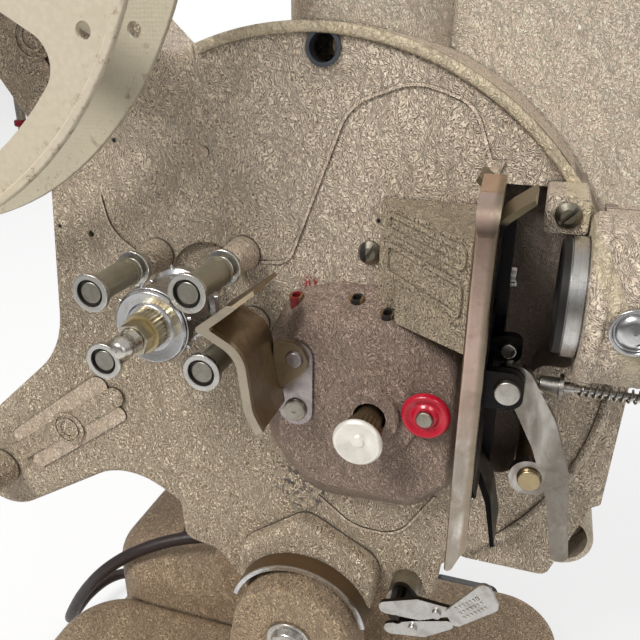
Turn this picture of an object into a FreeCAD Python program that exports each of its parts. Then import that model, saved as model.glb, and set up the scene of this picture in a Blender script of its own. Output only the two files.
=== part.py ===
import FreeCAD, Part
import math
import os

# Sixteen-millimetre film projector, in millimetres.
# The head is laid out from the sprocket's axis where it leaves the front wall:
# X runs to the lens, Y runs to the back, Z runs up.
# Export moves it to the middle of the whole, with its feet at zero.

V = FreeCAD.Vector

# The film and its path
FILM_W = 16.0
FILM_SIDE_GAP = 0.2
FILM_MID_Y = -21.7
LENS_Z = 14.8
RUN_FIT = 0.05
LOOSE = 0.3

# Base
BASE_DROP = 182.0
BASE_LEFT = -66.0
BASE_RIGHT = 108.0
BASE_FRONT = -44.0
BASE_BACK = 84.0
HUMP_RIGHT = 62.0
HUMP_SPLIT = 12.0
FRONT_HUMP_TOP = -134.0
REAR_HUMP_LEFT = -60.0
REAR_HUMP_TOP = -118.0
BASE_WALL = 3.0
FOOT_R = 8.0
FOOT_H = 4.0
BOTTOM_PLATE_T = 2.0
BASE_LOW = -BASE_DROP + FOOT_H - 1.0 + BOTTOM_PLATE_T
PLINTH_TOP = BASE_LOW + 20.0

# Tilt pivot
PIVOT_X = 27.5
PIVOT_Z = -100.0
FRONT_ARM_Y0 = -18.0
FRONT_ARM_Y1 = -6.3
FRONT_ARM_R = 17.8
FRONT_ARM_FOOT = 25.0
TILT_DISC_R = 36.0
TILT_DISC_Y0 = 8.0
TILT_DISC_T = 3.2
PIVOT_BOLT_R = 4.0
GUARD_R = 19.8
GUARD_T = 1.2
GUARD_Y0 = -12.2
LUG_Y = -6.0

# Head casting
CASTING_D = 16.0
CASTING_WALL = 3.5
CASTING_SIDE = 3.0
CASTING_EDGE_R = 1.9
DRUM_X = 27.3
DRUM_Z = -11.5
DRUM_R = 76.0
RIM_W = 2.6
RIM_H = 1.6
PANEL_STEP = 4.0
ARM_END_R = 16.0
SUPPLY_X = -77.2
SUPPLY_Z = 103.3
TAKEUP_X = -82.0
TAKEUP_Z = -75.0
BACK_PLATE_T = 2.0
TOP_HOLE_X = 31.4
TOP_HOLE_Z = 58.9
TOP_HOLE_R = 3.2
TOP_BUSH_T = 0.9
LINE_H = 0.55
LINE_W = 0.7

# Rear housing and lamp house
REAR_LEFT = -32.0
REAR_RIGHT = 104.0
REAR_BOTTOM = -78.0
REAR_TOP = 0.0
REAR_BACK = 74.0
HOUSING_WALL = 2.5
LAMP_LEFT = 38.0
LAMP_RIGHT = 124.0
LAMP_FRONT = 18.3
LAMP_BACK = 80.0
LAMP_BOTTOM = 0.5
LAMP_TOP = 138.0
STACK_X = 37.0
STACK_Y = 24.0
STACK_R = 20.5
LAMP_CAP_H = 15.0
HINGE_BACK = 3.8
HINGE_DROP = 1.6
LAMP_X = 61.7
LAMP_Y = 54.0
BULB_R = 14.0

# Reel
REEL_R = 89.0
REEL_HUB_R = 25.0
REEL_WINDOW_OUT = 80.0
REEL_WINDOW_IN = 35.0
REEL_SPOKE_W = 12.8
REEL_WINDOWS = 3
REEL_FIRST_SPOKE = -29.8
REEL_SHEET = 1.0
REEL_FRONT_Y = -34.4
REEL_INNER_GAP = 17.0
SPINDLE_R = 4.0

# Sprocket and film rollers
SPROCKET_TEETH = 8
DRUM_ROLL_R = 9.2
SPROCKET_DISC_R = 9.0
SPROCKET_SHAFT_R = 3.0
ROLLER_FLANGE_R = 4.63
ROLLER_BODY_R = 3.3
ROLLER_NECK_R = 2.7
ROLLER_FRONT_Y = -31.5
ROLLER_LEN = 19.5
ROLLER_BORE_R = 1.7
ROLLERS = {
    "upper_left": (-14.6, 6.7),
    "upper_right": (10.3, 9.55),
    "lower_left": (-13.35, -10.4),
    "lower_right": (12.4, -9.45),
}

# Gear train from the main shaft to the sprocket
MAIN_X = 48.0
MAIN_Z = -24.0
MAIN_SHAFT_R = 2.6
MODULE = 1.0
MAIN_PINION_T = 12
IDLER_WHEEL_T = 36
IDLER_PINION_T = 18
SPROCKET_WHEEL_T = 48
IDLER_STUD_R = 2.0
GEAR_W = 3.0
GEAR_Y0 = 5.0
GEAR_STEP = 1.0
SHUTTER_R = 46.5
SHUTTER_Y0 = 13.6
SHUTTER_T = 0.8
MOTOR_R = 20.5

# Mechanism cover, gate and lens
COVER_FRONT_Y = -12.6
COVER_RING_R = 12.3
COVER_BOSS_R = 7.5
COVER_BORE_R = 4.1
GATE_X = 70.6
GATE_PLATE_T = 2.4
GATE_BAR_W = 4.2
GATE_BAR_Y = -36.2
GATE_BAR_T = 2.4
GATE_GAP = 0.4
PRESSURE_T = 2.0
LENS_BARREL_R = 11.8
LENS_BARREL_X0 = 86.2
LENS_BARREL_LEN = 57.4
LENS_TUBE_R = 16.0
LENS_TUBE_X0 = 91.0
LENS_TUBE_LEN = 34.0
ROD_Y = -17.5
ROD_Z = -7.1
ROD_R = 0.75
SPRING_R = 1.3
SPRING_WIRE = 0.5
SPRING_PITCH = 1.35
SPRING_X0 = 92.9
SPRING_TURNS = 10
RACK_PITCH = 1.32
RACK_TEETH = 17
RACK_Y0 = -24.6
RACK_Y1 = -20.6
PINION_TEETH = 14
PINION_X = 114.0
LEVER_PIVOT_X = 85.8
LEVER_PIVOT_Z = -24.6
LEVER_PIN_X = 79.3
LEVER_PIN_Z = -3.6
LEVER_Y = -27.4
LEVER_T = 2.2

# Supply lead between the base and the head
LEAD_R = 2.3
LEAD_BEND = -105.5
LEAD_LOW = -BASE_DROP + 11.0
LEAD_FALL = (LEAD_BEND - LEAD_LOW) / 65.5
LEAD_ROUTE = [
    (12.0, 26.0, -81.0),
    (12.0, 26.0, -90.5),
    (6.5, 25.5, -99.5),
    (-4.5, 24.0, -104.0),
    (-17.0, 21.5, LEAD_BEND),
    (-31.0, 18.5, LEAD_BEND - LEAD_FALL * 3.0),
    (-45.5, 14.8, LEAD_BEND - LEAD_FALL * 9.5),
    (-58.5, 12.5, LEAD_BEND - LEAD_FALL * 20.0),
    (-69.0, 12.3, LEAD_BEND - LEAD_FALL * 33.5),
    (-77.0, 13.5, LEAD_BEND - LEAD_FALL * 47.0),
    (-83.5, 18.5, LEAD_BEND - LEAD_FALL * 58.0),
    (-88.5, 28.0, LEAD_BEND - LEAD_FALL * 64.5),
    (-90.0, 39.5, LEAD_LOW),
    (-86.6, 51.4, LEAD_LOW),
    (-78.4, 57.3, LEAD_LOW),
    (-68.0, 57.3, LEAD_LOW),
]


def corner_wire(corners, place):
    """A closed wire through corners (u, v, radius), each rounded by a tangent arc."""
    count = len(corners)
    cuts = []
    for i in range(count):
        u, v, radius = corners[i]
        pu, pv = corners[i - 1][0], corners[i - 1][1]
        nu, nv = corners[(i + 1) % count][0], corners[(i + 1) % count][1]
        back = math.hypot(pu - u, pv - v)
        ahead = math.hypot(nu - u, nv - v)
        bu, bv = (pu - u) / back, (pv - v) / back
        au, av = (nu - u) / ahead, (nv - v) / ahead
        turn = math.pi - math.acos(max(-1.0, min(1.0, bu * au + bv * av)))
        if radius <= 0 or turn < 1e-4:
            cuts.append(((u, v), None, (u, v)))
            continue
        reach = radius * math.tan(turn / 2)
        mu, mv = bu + au, bv + av
        length = math.hypot(mu, mv)
        mid = radius / math.cos(turn / 2) - radius
        start = (u + bu * reach, v + bv * reach)
        middle = (u + mu / length * mid, v + mv / length * mid)
        end = (u + au * reach, v + av * reach)
        cuts.append((start, middle, end))
    edges = []
    for i in range(count):
        start, middle, end = cuts[i]
        if middle is not None:
            edges.append(Part.Arc(place(*start), place(*middle), place(*end)).toShape())
        after = cuts[(i + 1) % count][0]
        if math.hypot(after[0] - end[0], after[1] - end[1]) > 1e-5:
            edges.append(Part.LineSegment(place(*end), place(*after)).toShape())
    return Part.Wire(Part.__sortEdges__(edges))


def rounded(points, radius):
    """The same radius on every corner."""
    return [(u, v, radius) for u, v in points]


def box_corners(u0, v0, u1, v1, radius=0.0):
    return rounded([(u0, v0), (u1, v0), (u1, v1), (u0, v1)], radius)


def arc_corners(u, v, radius, start, end):
    """Corners whose tangent arcs make one round stretch from angle start to angle end."""
    steps = max(1, math.ceil(abs(end - start) / 60.0))
    half = math.radians((end - start) / steps / 2)
    far = radius / math.cos(half)
    corners = []
    for i in range(steps):
        middle = math.radians(start) + half * (2 * i + 1)
        corners.append((u + far * math.cos(middle), v + far * math.sin(middle), radius * 0.9995))
    return corners


def prism_y(corners, y0, y1):
    return Part.Face(corner_wire(corners, lambda u, v: V(u, y0, v))).extrude(V(0, y1 - y0, 0))


def prism_x(corners, x0, x1):
    return Part.Face(corner_wire(corners, lambda u, v: V(x0, u, v))).extrude(V(x1 - x0, 0, 0))


def prism_z(corners, z0, z1):
    return Part.Face(corner_wire(corners, lambda u, v: V(u, v, z0))).extrude(V(0, 0, z1 - z0))


def rod_y(x, z, radius, y0, y1):
    return Part.makeCylinder(radius, y1 - y0, V(x, y0, z), V(0, 1, 0))


def rod_x(y, z, radius, x0, x1):
    return Part.makeCylinder(radius, x1 - x0, V(x0, y, z), V(1, 0, 0))


def rod_z(x, y, radius, z0, z1):
    return Part.makeCylinder(radius, z1 - z0, V(x, y, z0), V(0, 0, 1))


def tube_y(x, z, outer, inner, y0, y1):
    return rod_y(x, z, outer, y0, y1).cut(rod_y(x, z, inner, y0 - 1, y1 + 1))


def turned_y(x, z, profile):
    """A turned piece about a Y axis; the profile has corners (radius, y, corner radius)."""
    face = Part.Face(corner_wire(profile, lambda u, v: V(x + u, v, z)))
    return face.revolve(V(x, 0, z), V(0, 1, 0), 360)


def turned_x(y, z, profile):
    """A turned piece about an X axis; the profile has corners (radius, x, corner radius)."""
    face = Part.Face(corner_wire(profile, lambda u, v: V(v, y, z + u)))
    return face.revolve(V(0, y, z), V(1, 0, 0), 360)


def turned_z(x, y, profile):
    """A turned piece about a Z axis; the profile has corners (radius, z, corner radius)."""
    face = Part.Face(corner_wire(profile, lambda u, v: V(x + u, y, v)))
    return face.revolve(V(x, y, 0), V(0, 0, 1), 360)


def fused(pieces):
    whole = pieces[0]
    for piece in pieces[1:]:
        whole = whole.fuse(piece)
    return whole.removeSplitter()


def holed(solid, cutters):
    for cutter in cutters:
        solid = solid.cut(cutter)
    return solid


def front_edges(solid, y):
    """The edges of a prism that lie wholly in the plane at y."""
    found = []
    for edge in solid.Edges:
        box = edge.BoundBox
        if abs(box.YMin - y) < 1e-4 and abs(box.YMax - y) < 1e-4:
            found.append(edge)
    return found


def round_front(solid, y, radius):
    return solid.makeFillet(radius, front_edges(solid, y))


def touch(u, v, radius, point, side):
    """The angle at which a line from a point touches a circle, on the side +1 or -1."""
    away = math.hypot(point[0] - u, point[1] - v)
    return math.degrees(math.atan2(point[1] - v, point[0] - u) + side * math.acos(radius / away))


def strap(circles):
    """Corners of the outline drawn tight round circles (u, v, radius) given anticlockwise."""
    count = len(circles)
    leave = []
    for i in range(count):
        u0, v0, r0 = circles[i]
        u1, v1, r1 = circles[(i + 1) % count]
        along = math.degrees(math.atan2(v1 - v0, u1 - u0))
        leave.append(along - 90 + math.degrees(math.asin((r0 - r1) / math.hypot(u1 - u0, v1 - v0))))
    corners = []
    for i in range(count):
        start = leave[i - 1]
        end = leave[i]
        while end < start - 1e-9:
            end += 360
        corners += arc_corners(circles[i][0], circles[i][1], circles[i][2], start, end)
    return corners


def capsule(x0, z0, x1, z1, radius):
    """Corners of a slot-shaped outline from one centre to another."""
    return strap([(x0, z0, radius), (x1, z1, radius)])


def toothed_wheel(x, z, teeth, module, y0, width, bore, phase):
    """A spur wheel about a Y axis with one tooth's middle at the given angle in degrees."""
    pitch_r = teeth * module / 2
    root_r = pitch_r - 1.2 * module
    tip_r = pitch_r + 0.85 * module
    step = 360.0 / teeth
    points = []
    for i in range(teeth):
        middle = phase + i * step
        for radius, share in ((root_r, -0.34), (tip_r, -0.11), (tip_r, 0.11), (root_r, 0.34)):
            angle = math.radians(middle + share * step)
            points.append((x + radius * math.cos(angle), z + radius * math.sin(angle)))
    wheel = prism_y(rounded(points, 0), y0, y0 + width)
    return wheel.cut(rod_y(x, z, bore, y0 - 1, y0 + width + 1))


def knurled(x, z, radius, depth, ridges, y0, y1):
    """A straight-knurled collar about a Y axis."""
    points = []
    for i in range(ridges):
        for reach, share in ((radius - depth, 0.0), (radius, 0.5)):
            angle = 2 * math.pi * (i + share) / ridges
            points.append((x + reach * math.cos(angle), z + reach * math.sin(angle)))
    return prism_y(rounded(points, 0), y0, y1)


def screw_y(x, z, radius, y, slot_angle, shank=2.2):
    """A round-head slotted screw whose head stands in front of the plane at y."""
    height = radius * 0.62
    head = turned_y(x, z, [(0, y - height, 0), (radius * 0.55, y - height, 0),
            (radius, y - height * 0.3, 0),
                           (radius, y, 0), (radius * 0.5, y, 0), (radius * 0.5, y + shank, 0),
                           (0, y + shank, 0)])
    slot = Part.makeBox(radius * 2.4, height * 0.55, radius * 0.3,
            V(x - radius * 1.2, y - height - 0.02, z - radius * 0.15))
    slot.rotate(V(x, y, z), V(0, 1, 0), slot_angle)
    return head.cut(slot)


def biarc(p0, t0, p1, t1):
    """Two arcs that leave p0 along t0 and reach p1 along t1."""
    v = p1 - p0
    both = t0 + t1
    spread = 2 * (1 - t0.dot(t1))
    reach = (math.sqrt(v.dot(both) ** 2 + spread * v.dot(v)) - v.dot(both)) / spread
    q0 = p0 + t0 * reach
    q1 = p1 - t1 * reach
    joint = (q0 + q1) * 0.5
    edges = []
    for start, corner, end in ((p0, q0, joint), (joint, q1, p1)):
        chord = (start + end) * 0.5
        half = (end - start).Length / 2
        rise = corner - chord
        sag = half * math.tan(math.atan2(rise.Length, half) / 2)
        edges.append(Part.Arc(start, chord + rise * (sag / rise.Length), end).toShape())
    return edges


def head_outline():
    """The head casting's outline, clockwise seen from the front, arms included."""
    lug_r = FRONT_ARM_R + 0.8
    notch = beside_drum(116.93, 1.06)
    hip = beside_drum(-59.67, 1.04)
    lug_right = (46.6, -91.2)
    lug_left = (-3.5, -90.8)
    arm_low = (-33.5, -64.5)
    arm_high = (-51.8, -27.0)
    flank = (-46.0, 33.0)
    corners = [(*notch, 5.0)]
    corners += arc_corners(DRUM_X, DRUM_Z, DRUM_R, touch(DRUM_X, DRUM_Z, DRUM_R, notch, -1),
            touch(DRUM_X, DRUM_Z, DRUM_R, hip, 1))
    corners += [(*hip, 4.0), (hip[0] - 0.8, -91.2, 2.6), (*lug_right, 3.0)]
    corners += arc_corners(PIVOT_X, PIVOT_Z, lug_r, touch(PIVOT_X, PIVOT_Z, lug_r, lug_right, -1),
            touch(PIVOT_X, PIVOT_Z, lug_r, lug_left, 1) - 360)
    corners += [(*lug_left, 5.0), (-14.8, -88.8, 4.0), (-15.6, -75.0, 2.6), (*arm_low, 22.0)]
    low = touch(TAKEUP_X, TAKEUP_Z, ARM_END_R, arm_low, -1)
    high = touch(TAKEUP_X, TAKEUP_Z, ARM_END_R, arm_high, 1)
    corners += arc_corners(TAKEUP_X, TAKEUP_Z, ARM_END_R, low, high - 360)
    corners += [(*arm_high, 30.0), (*flank, 20.0)]
    end_r = ARM_END_R - 1
    low = touch(SUPPLY_X, SUPPLY_Z, end_r, flank, -1)
    high = touch(SUPPLY_X, SUPPLY_Z, end_r, notch, 1)
    corners += arc_corners(SUPPLY_X, SUPPLY_Z, end_r, low, high - 360 if high > low else high)
    return corners


def beside_drum(angle, out):
    """A point of the head's outline at an angle about the drum, a little outside its edge."""
    turn = math.radians(angle)
    return (DRUM_X + (DRUM_R + out) * math.cos(turn), DRUM_Z + (DRUM_R + out) * math.sin(turn))


def drum_angle(x, z):
    return math.degrees(math.atan2(z - DRUM_Z, x - DRUM_X))


def drum_bead():
    """The rounded rim that runs over the drum and down past the lens."""
    ring = tube_y(DRUM_X, DRUM_Z, DRUM_R - 0.05, DRUM_R - RIM_W, -RIM_H, CASTING_EDGE_R + 0.2)
    sides = [e for e in ring.Edges if abs(e.BoundBox.YMin + RIM_H) < 1e-4 and e.BoundBox.YLength < 1e-4]
    ring = ring.makeFillet(RIM_W * 0.4, sides)
    far = DRUM_R * 2
    cutter = [(DRUM_X, DRUM_Z, 0)]
    for angle in (111, 60, 10, -44):
        cutter.append((DRUM_X + far * math.cos(math.radians(angle)),
                DRUM_Z + far * math.sin(math.radians(angle)), 0))
    return ring.common(prism_y(cutter, -5, CASTING_EDGE_R + 1))


def ribbon(points, width, y0, y1):
    """A narrow raised line along a rounded path of points (x, z, radius)."""
    left = []
    right = []
    count = len(points)
    for i in range(count):
        x, z, radius = points[i]
        ahead = points[min(i + 1, count - 1)]
        back = points[max(i - 1, 0)]
        into = (x - back[0], z - back[1])
        out = (ahead[0] - x, ahead[1] - z)
        if i == 0:
            into = out
        if i == count - 1:
            out = into
        into_l, out_l = math.hypot(*into), math.hypot(*out)
        nx = -(into[1] / into_l + out[1] / out_l)
        nz = into[0] / into_l + out[0] / out_l
        size = math.hypot(nx, nz)
        stretch = width / 2 / (size / 2)
        turn = into[0] * out[1] - into[1] * out[0]
        bend = width / 2 if turn > 0 else -width / 2
        inner = max(radius - bend, 0) if radius > 0 else 0
        outer = radius + bend if radius > 0 else 0
        left.append((x + nx / size * stretch, z + nz / size * stretch, inner))
        right.append((x - nx / size * stretch, z - nz / size * stretch, outer))
    return prism_y(left + right[::-1], y0, y1)


UPPER_LINE = [(15.0, 7.6, 0), (22.5, 8.2, 5.0), (37.5, 47.0, 12.0), (52.5, 52.6, 14.0),
        (65.5, 48.0, 9.0), (70.2, 35.0, 0)]
LEFT_LINE = [(-30.6, 21.6, 0), (-28.8, 12.0, 12.0), (-21.0, 6.6, 0)]
LOWER_LINE = [(30.5, -61.3, 0), (41.0, -69.6, 12.0), (54.0, -70.0, 10.0), (63.6, -54.0, 0)]


def guide_lines():
    """Raised double lines that show the film's loops, with an arrow head on the upper one."""
    lines = []
    for path in (UPPER_LINE, LEFT_LINE, LOWER_LINE):
        lines.append(ribbon(path, LINE_W, -LINE_H, 0.4))
    arrow = [(68.3, 36.6, 0), (73.0, 36.6, 0), (71.2, 32.1, 0)]
    lines.append(prism_y(arrow, -LINE_H, 0.4))
    return lines


def arm_ornament():
    """Raised rings and stepped bars on the take-up arm and the supply arm."""
    pieces = []
    bars = (((-71.0, -61.2), (-39.5, -37.5), 3.4, 0.7), ((-73.0, -67.0), (-34.0, -40.0), 3.1, 1.0),
            ((-66.0, -69.2), (-33.5, -46.0), 2.6, 0.6))
    for (x0, z0), (x1, z1), radius, height in bars:
        pieces.append(prism_y(capsule(x0, z0, x1, z1, radius), -height, 0.4))
    for x, z in ((-52.1, -54.1), (-44.2, 60.4)):
        for outer, inner, height in ((5.6, 4.7, 1.5), (3.6, 2.8, 1.5), (5.0, 0.0, 1.1)):
            ring = rod_y(x, z, outer, -height, 0.4)
            pieces.append(ring.cut(rod_y(x, z, inner, -3, 1)) if inner else ring)
    for shift in (-4.5, 0.0, 4.5):
        x0, z0 = SUPPLY_X + 22 + shift * 0.7, SUPPLY_Z - 24 + shift * 0.7
        x1, z1 = -37.0 + shift * 0.7, 54.0 + shift * 0.7
        pieces.append(prism_y(capsule(x0, z0, x1, z1, 1.3), -0.7, 0.4))
    return pieces


CAVITY = [(76.2, 31.5, 2.0), (GATE_X + 0.4, 31.5, 0), (GATE_X + 0.4, -43.0, 2.0),
        (82.5, -43.0, 4.0), (84.0, -11.0, 4.0),
          (93.5, -11.0, 3.0), (93.5, 27.0, 2.0), (84.5, 27.0, 1.5), (84.5, 31.5, 2.0)]


def main_casting():
    """The head's front wall with its round drum, both reel arms and the tilt lug."""
    outline = head_outline()
    body = round_front(prism_y(outline, 0, CASTING_D), 0, CASTING_EDGE_R)
    panel = prism_y([(70.0, -76.0, 3.0), (94.7, -76.2, 3.0), (103.0, -51.5, 1.0), (105.2, -50.0, 1.0),
                     (106.4, -18.0, 3.0), (106.4, 4.0, 3.0), (80.0, 40.0, 3.0)], PANEL_STEP, CASTING_D)
    body = body.fuse(panel)
    inner = Part.Face(corner_wire(outline, lambda u, v: V(u, CASTING_WALL, v))).makeOffset2D(-CASTING_SIDE)
    above = Part.makeBox(400, 60, 400, V(-200, -10, -72.5)).fuse(Part.makeBox(180, 60, 400,
            V(-200, -10, -200)))
    body = body.cut(inner.extrude(V(0, CASTING_D, 0)).common(above))
    tub = prism_y([(GATE_X - 2.6, 34.5, 3), (GATE_X - 2.6, -46.0, 3), (85.5, -46.0, 4), (87.0, -14.0, 4),
                   (96.5, -14.0, 3), (96.5, 34.5, 3)], 0.2, 12.6)
    tub = tub.common(rod_y(DRUM_X, DRUM_Z, DRUM_R - 0.6, -1, 20))
    body = body.fuse(tub).cut(prism_y(CAVITY, -1, 10.6))
    body = body.cut(rod_y(MAIN_X, MAIN_Z, SHUTTER_R + 0.8, 12.4, CASTING_D + 1))
    pads = drum_corner_pads()
    bosses = roller_bosses() + [
        turned_y(TAKEUP_X, TAKEUP_Z, [(0, -12.0, 0), (5.6, -12.0, 1.0), (6.4, 0.3, 0), (0, 0.3, 0)]),
        turned_y(SUPPLY_X, SUPPLY_Z, [(0, -10.5, 0), (6.0, -10.5, 1.0), (7.0, 0.3, 0), (0, 0.3, 0)]),
        rod_y(0, 0, 7.0, 0.5, BELT_Y - 1.2 - LOOSE),
        rod_y(idler_place()[0], idler_place()[1], 4.0, 0.5, CASTING_WALL + 1.0),
    ]
    for piece in pads + bosses + guide_lines() + arm_ornament() + [drum_bead(), tilt_lug(),
            screw_lug(), rod_y(0.6, 34.5, 1.4, -0.5, 0.5)]:
        body = body.fuse(piece)
    holes = [
        rod_y(TOP_HOLE_X, TOP_HOLE_Z, TOP_HOLE_R + TOP_BUSH_T, -1, CASTING_D + 1),
        rod_y(-35.3, 10.4, 0.9, -1, 2.5),
        rod_y(LAMP_X, LENS_Z, 9.0, -1, CASTING_D + 1),
        rod_y(0, 0, 11.4, -1, 1.6),
        rod_y(0, 0, SPROCKET_SHAFT_R + RUN_FIT, -1, 9),
        rod_y(MAIN_X, MAIN_Z, COVER_BORE_R, -1, 9),
        rod_y(TAKEUP_X, TAKEUP_Z, SPINDLE_R + RUN_FIT, -14, 9),
        rod_y(SUPPLY_X, SUPPLY_Z, SPINDLE_R + RUN_FIT, -14, 9),
        rod_y(PIVOT_X, PIVOT_Z, PIVOT_BOLT_R + RUN_FIT, LUG_Y - 1, CASTING_D + 1),
        rod_y(PIVOT_X, PIVOT_Z, TILT_DISC_R + 1.2, TILT_DISC_Y0 - 0.35, TILT_DISC_Y0 + TILT_DISC_T + 0.35),
        prism_y(box_corners(PIVOT_X - 60, PIVOT_Z - 60, PIVOT_X + 60, -91.5), TILT_DISC_Y0 - 0.35,
        CASTING_D + 1),
    ]
    holes.append(rod_y(DUCT_X, DUCT_Z, DUCT_R + LOOSE, DUCT_Y0 - LOOSE, CASTING_D + 1))
    holes.append(rod_y(*idler_place(), IDLER_STUD_R, 2.0, 9))
    holes.append(rod_x(FILM_MID_Y, LENS_Z, LENS_BARREL_R + 2 * LOOSE, LENS_BARREL_X0 - 1.0, LENS_TUBE_X0))
    for x, z, radius, y, _, shank in FRONT_SCREWS:
        holes.append(rod_y(x, z, radius / 2, y - 0.1, y + shank))
    holes.append(rod_z(BUTTON_X, BUTTON_Y, BUTTON_STEM_R + RUN_FIT, BUTTON_Z + 5.0, BUTTON_Z + 20.0))
    return holed(body, holes).removeSplitter()


def drum_corner_pads():
    """Screw pads inside the casting that the back plate is held to."""
    pads = []
    for x, z in COVER_SCREWS:
        pads.append(rod_y(x, z, 3.6, CASTING_WALL - 0.5, CASTING_D))
    return pads


COVER_SCREWS = [(2.0, 55.0), (-40.0, 8.0), (-60.0, -55.0), (-60.0, 78.0)]
COVER_SCREW_R = 2.6


def roller_bosses():
    """Tapered feet that carry the roller studs."""
    feet = []
    for x, z in ROLLERS.values():
        feet.append(turned_y(x, z, [(0, -9.2, 0), (3.7, -9.2, 0.6), (4.6, 0.3, 0), (0, 0.3, 0)]))
    return feet


def back_plate():
    """The flat cover behind the casting, with shaft and light holes."""
    plate = prism_y(head_outline(), CASTING_D, CASTING_D + BACK_PLATE_T)
    plate = plate.common(Part.makeBox(400, 60, 400, V(-200, -10, PIVOT_Z + 9.0)))
    for x, z in COVER_SCREWS:
        plate = plate.cut(rod_y(x, z, COVER_SCREW_R / 2 + RUN_FIT, 0, 40))
    return holed(plate, [
        rod_y(LAMP_X, LENS_Z, 10.0, 0, 40),
        rod_y(DUCT_X, DUCT_Z, DUCT_R + LOOSE, 0, 40),
        rod_y(MAIN_X, MAIN_Z, MAIN_SHAFT_R + RUN_FIT, 0, 40),
        rod_y(0, 0, SPROCKET_SHAFT_R - 1 + RUN_FIT, 0, 40),
        rod_y(TOP_HOLE_X, TOP_HOLE_Z, TOP_HOLE_R + 0.2, 0, 40),
        rod_y(TAKEUP_X, TAKEUP_Z, SPINDLE_R - 1 + RUN_FIT, 0, 40),
        rod_y(SUPPLY_X, SUPPLY_Z, SPINDLE_R - 1 + RUN_FIT, 0, 40),
    ])


def cover_screws():
    """The screws that hold the back plate, seen from behind."""
    screws = []
    for x, z in COVER_SCREWS:
        screw = screw_y(x, z, COVER_SCREW_R, 0, 20, 1.5)
        screw.rotate(V(x, 0, z), V(0, 0, 1), 180)
        screw.translate(V(0, CASTING_D + BACK_PLATE_T + 0.01, 0))
        screws.append(screw)
    return screws


def rear_housing():
    """The deep shell behind the casting that holds the motor."""
    y0 = CASTING_D + BACK_PLATE_T
    outer = prism_y(box_corners(REAR_LEFT, REAR_BOTTOM, REAR_RIGHT, REAR_TOP, 12.0), y0, REAR_BACK)
    back = [e for e in outer.Edges if abs(e.BoundBox.YMin - REAR_BACK) < 1e-4]
    outer = outer.makeFillet(6.0, back)
    w = HOUSING_WALL
    inner = prism_y(box_corners(REAR_LEFT + w, REAR_BOTTOM + w, REAR_RIGHT - w, REAR_TOP - w, 9.5),
            y0 - 1, REAR_BACK - w)
    shell = outer.cut(inner)
    slots = []
    for i in range(6):
        x = MAIN_X - 25 + i * 10
        slots.append(prism_y(capsule(x, MAIN_Z - 16, x, MAIN_Z + 12, 1.6), REAR_BACK - 5, REAR_BACK + 5))
    gland = rod_z(LEAD_ROUTE[0][0], LEAD_ROUTE[0][1], 5.0, LEAD_ROUTE[0][2], REAR_BOTTOM + 3)
    return holed(shell, slots).fuse(cooling_duct()).fuse(gland).removeSplitter()


def lamp_house():
    """The tall lamp house with its rounded stack, neck, lens mount and hinge, open under the cap."""
    w = HOUSING_WALL
    block = prism_z(box_corners(LAMP_LEFT, LAMP_FRONT, LAMP_RIGHT, LAMP_BACK, 8.0), LAMP_BOTTOM, LAMP_TOP)
    outer = block.fuse(rod_z(STACK_X, STACK_Y + 15, STACK_R, LAMP_BOTTOM, LAMP_TOP)).removeSplitter()
    inner = prism_z(box_corners(LAMP_LEFT + w, LAMP_FRONT + w, LAMP_RIGHT - w, LAMP_BACK - w, 5.5),
            LAMP_BOTTOM + w, LAMP_TOP + 1)
    shell = outer.cut(inner)
    shell = shell.cut(rod_z(STACK_X, STACK_Y + 15, STACK_R - w, LAMP_BOTTOM + w, LAMP_TOP + 1))
    holes = [rod_y(LAMP_X, LENS_Z, 10.0, 0, LAMP_FRONT + 6)]
    for i in range(7):
        z = 46.0 + i * 11.0
        holes.append(prism_x(capsule(LAMP_FRONT + 18, z, LAMP_BACK - 16, z, 1.8), LAMP_RIGHT - 5,
                LAMP_RIGHT + 5))
    return holed(shell, holes).fuse(neck()).fuse(condenser_mount()).fuse(cap_hinge()).removeSplitter()


def neck():
    """The rounded saddle in front of the lamp house that runs down into the casting's top."""
    top = LAMP_TOP - 20
    back = LAMP_FRONT + 0.5
    body = turned_z(STACK_X, STACK_Y, [(0, 56.0, 0), (STACK_R, 56.0, 0), (STACK_R, top, 6.0), (0, top, 0)])
    body = body.common(Part.makeBox(100, 60, 200, V(STACK_X - 50, back - 60, 0)))
    return holed(body, [
        rod_y(DRUM_X, DRUM_Z, DRUM_R + 0.02, -1, LAMP_FRONT - 0.28),
        rod_y(TOP_HOLE_X, TOP_HOLE_Z, TOP_HOLE_R + 0.3, -1, 30),
    ])


def lamp_cap():
    """The domed louvred cap over the lamp."""
    w = 2.0
    over = 2.2
    x0, x1 = LAMP_LEFT - over, LAMP_RIGHT + over
    y0, y1 = LAMP_FRONT - over, LAMP_BACK + over
    z0 = LAMP_TOP + 0.3
    outer = prism_z(box_corners(x0, y0, x1, y1, 10.0), z0, z0 + LAMP_CAP_H)
    top = [e for e in outer.Edges if abs(e.BoundBox.ZMin - z0 - LAMP_CAP_H) < 1e-4]
    outer = outer.makeFillet(6.0, top)
    inner = prism_z(box_corners(x0 + w, y0 + w, x1 - w, y1 - w, 8.0), z0 - 1, z0 + LAMP_CAP_H - w - 2)
    shell = outer.cut(inner)
    slots = []
    for i in range(7):
        x = x0 + 18 + i * 9.0
        slots.append(prism_z(capsule(x, y0 + 16, x, y1 - 16, 1.6), z0 + 2, z0 + LAMP_CAP_H + 2))
    return holed(shell, slots).fuse(hinge_strap()).removeSplitter()


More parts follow.
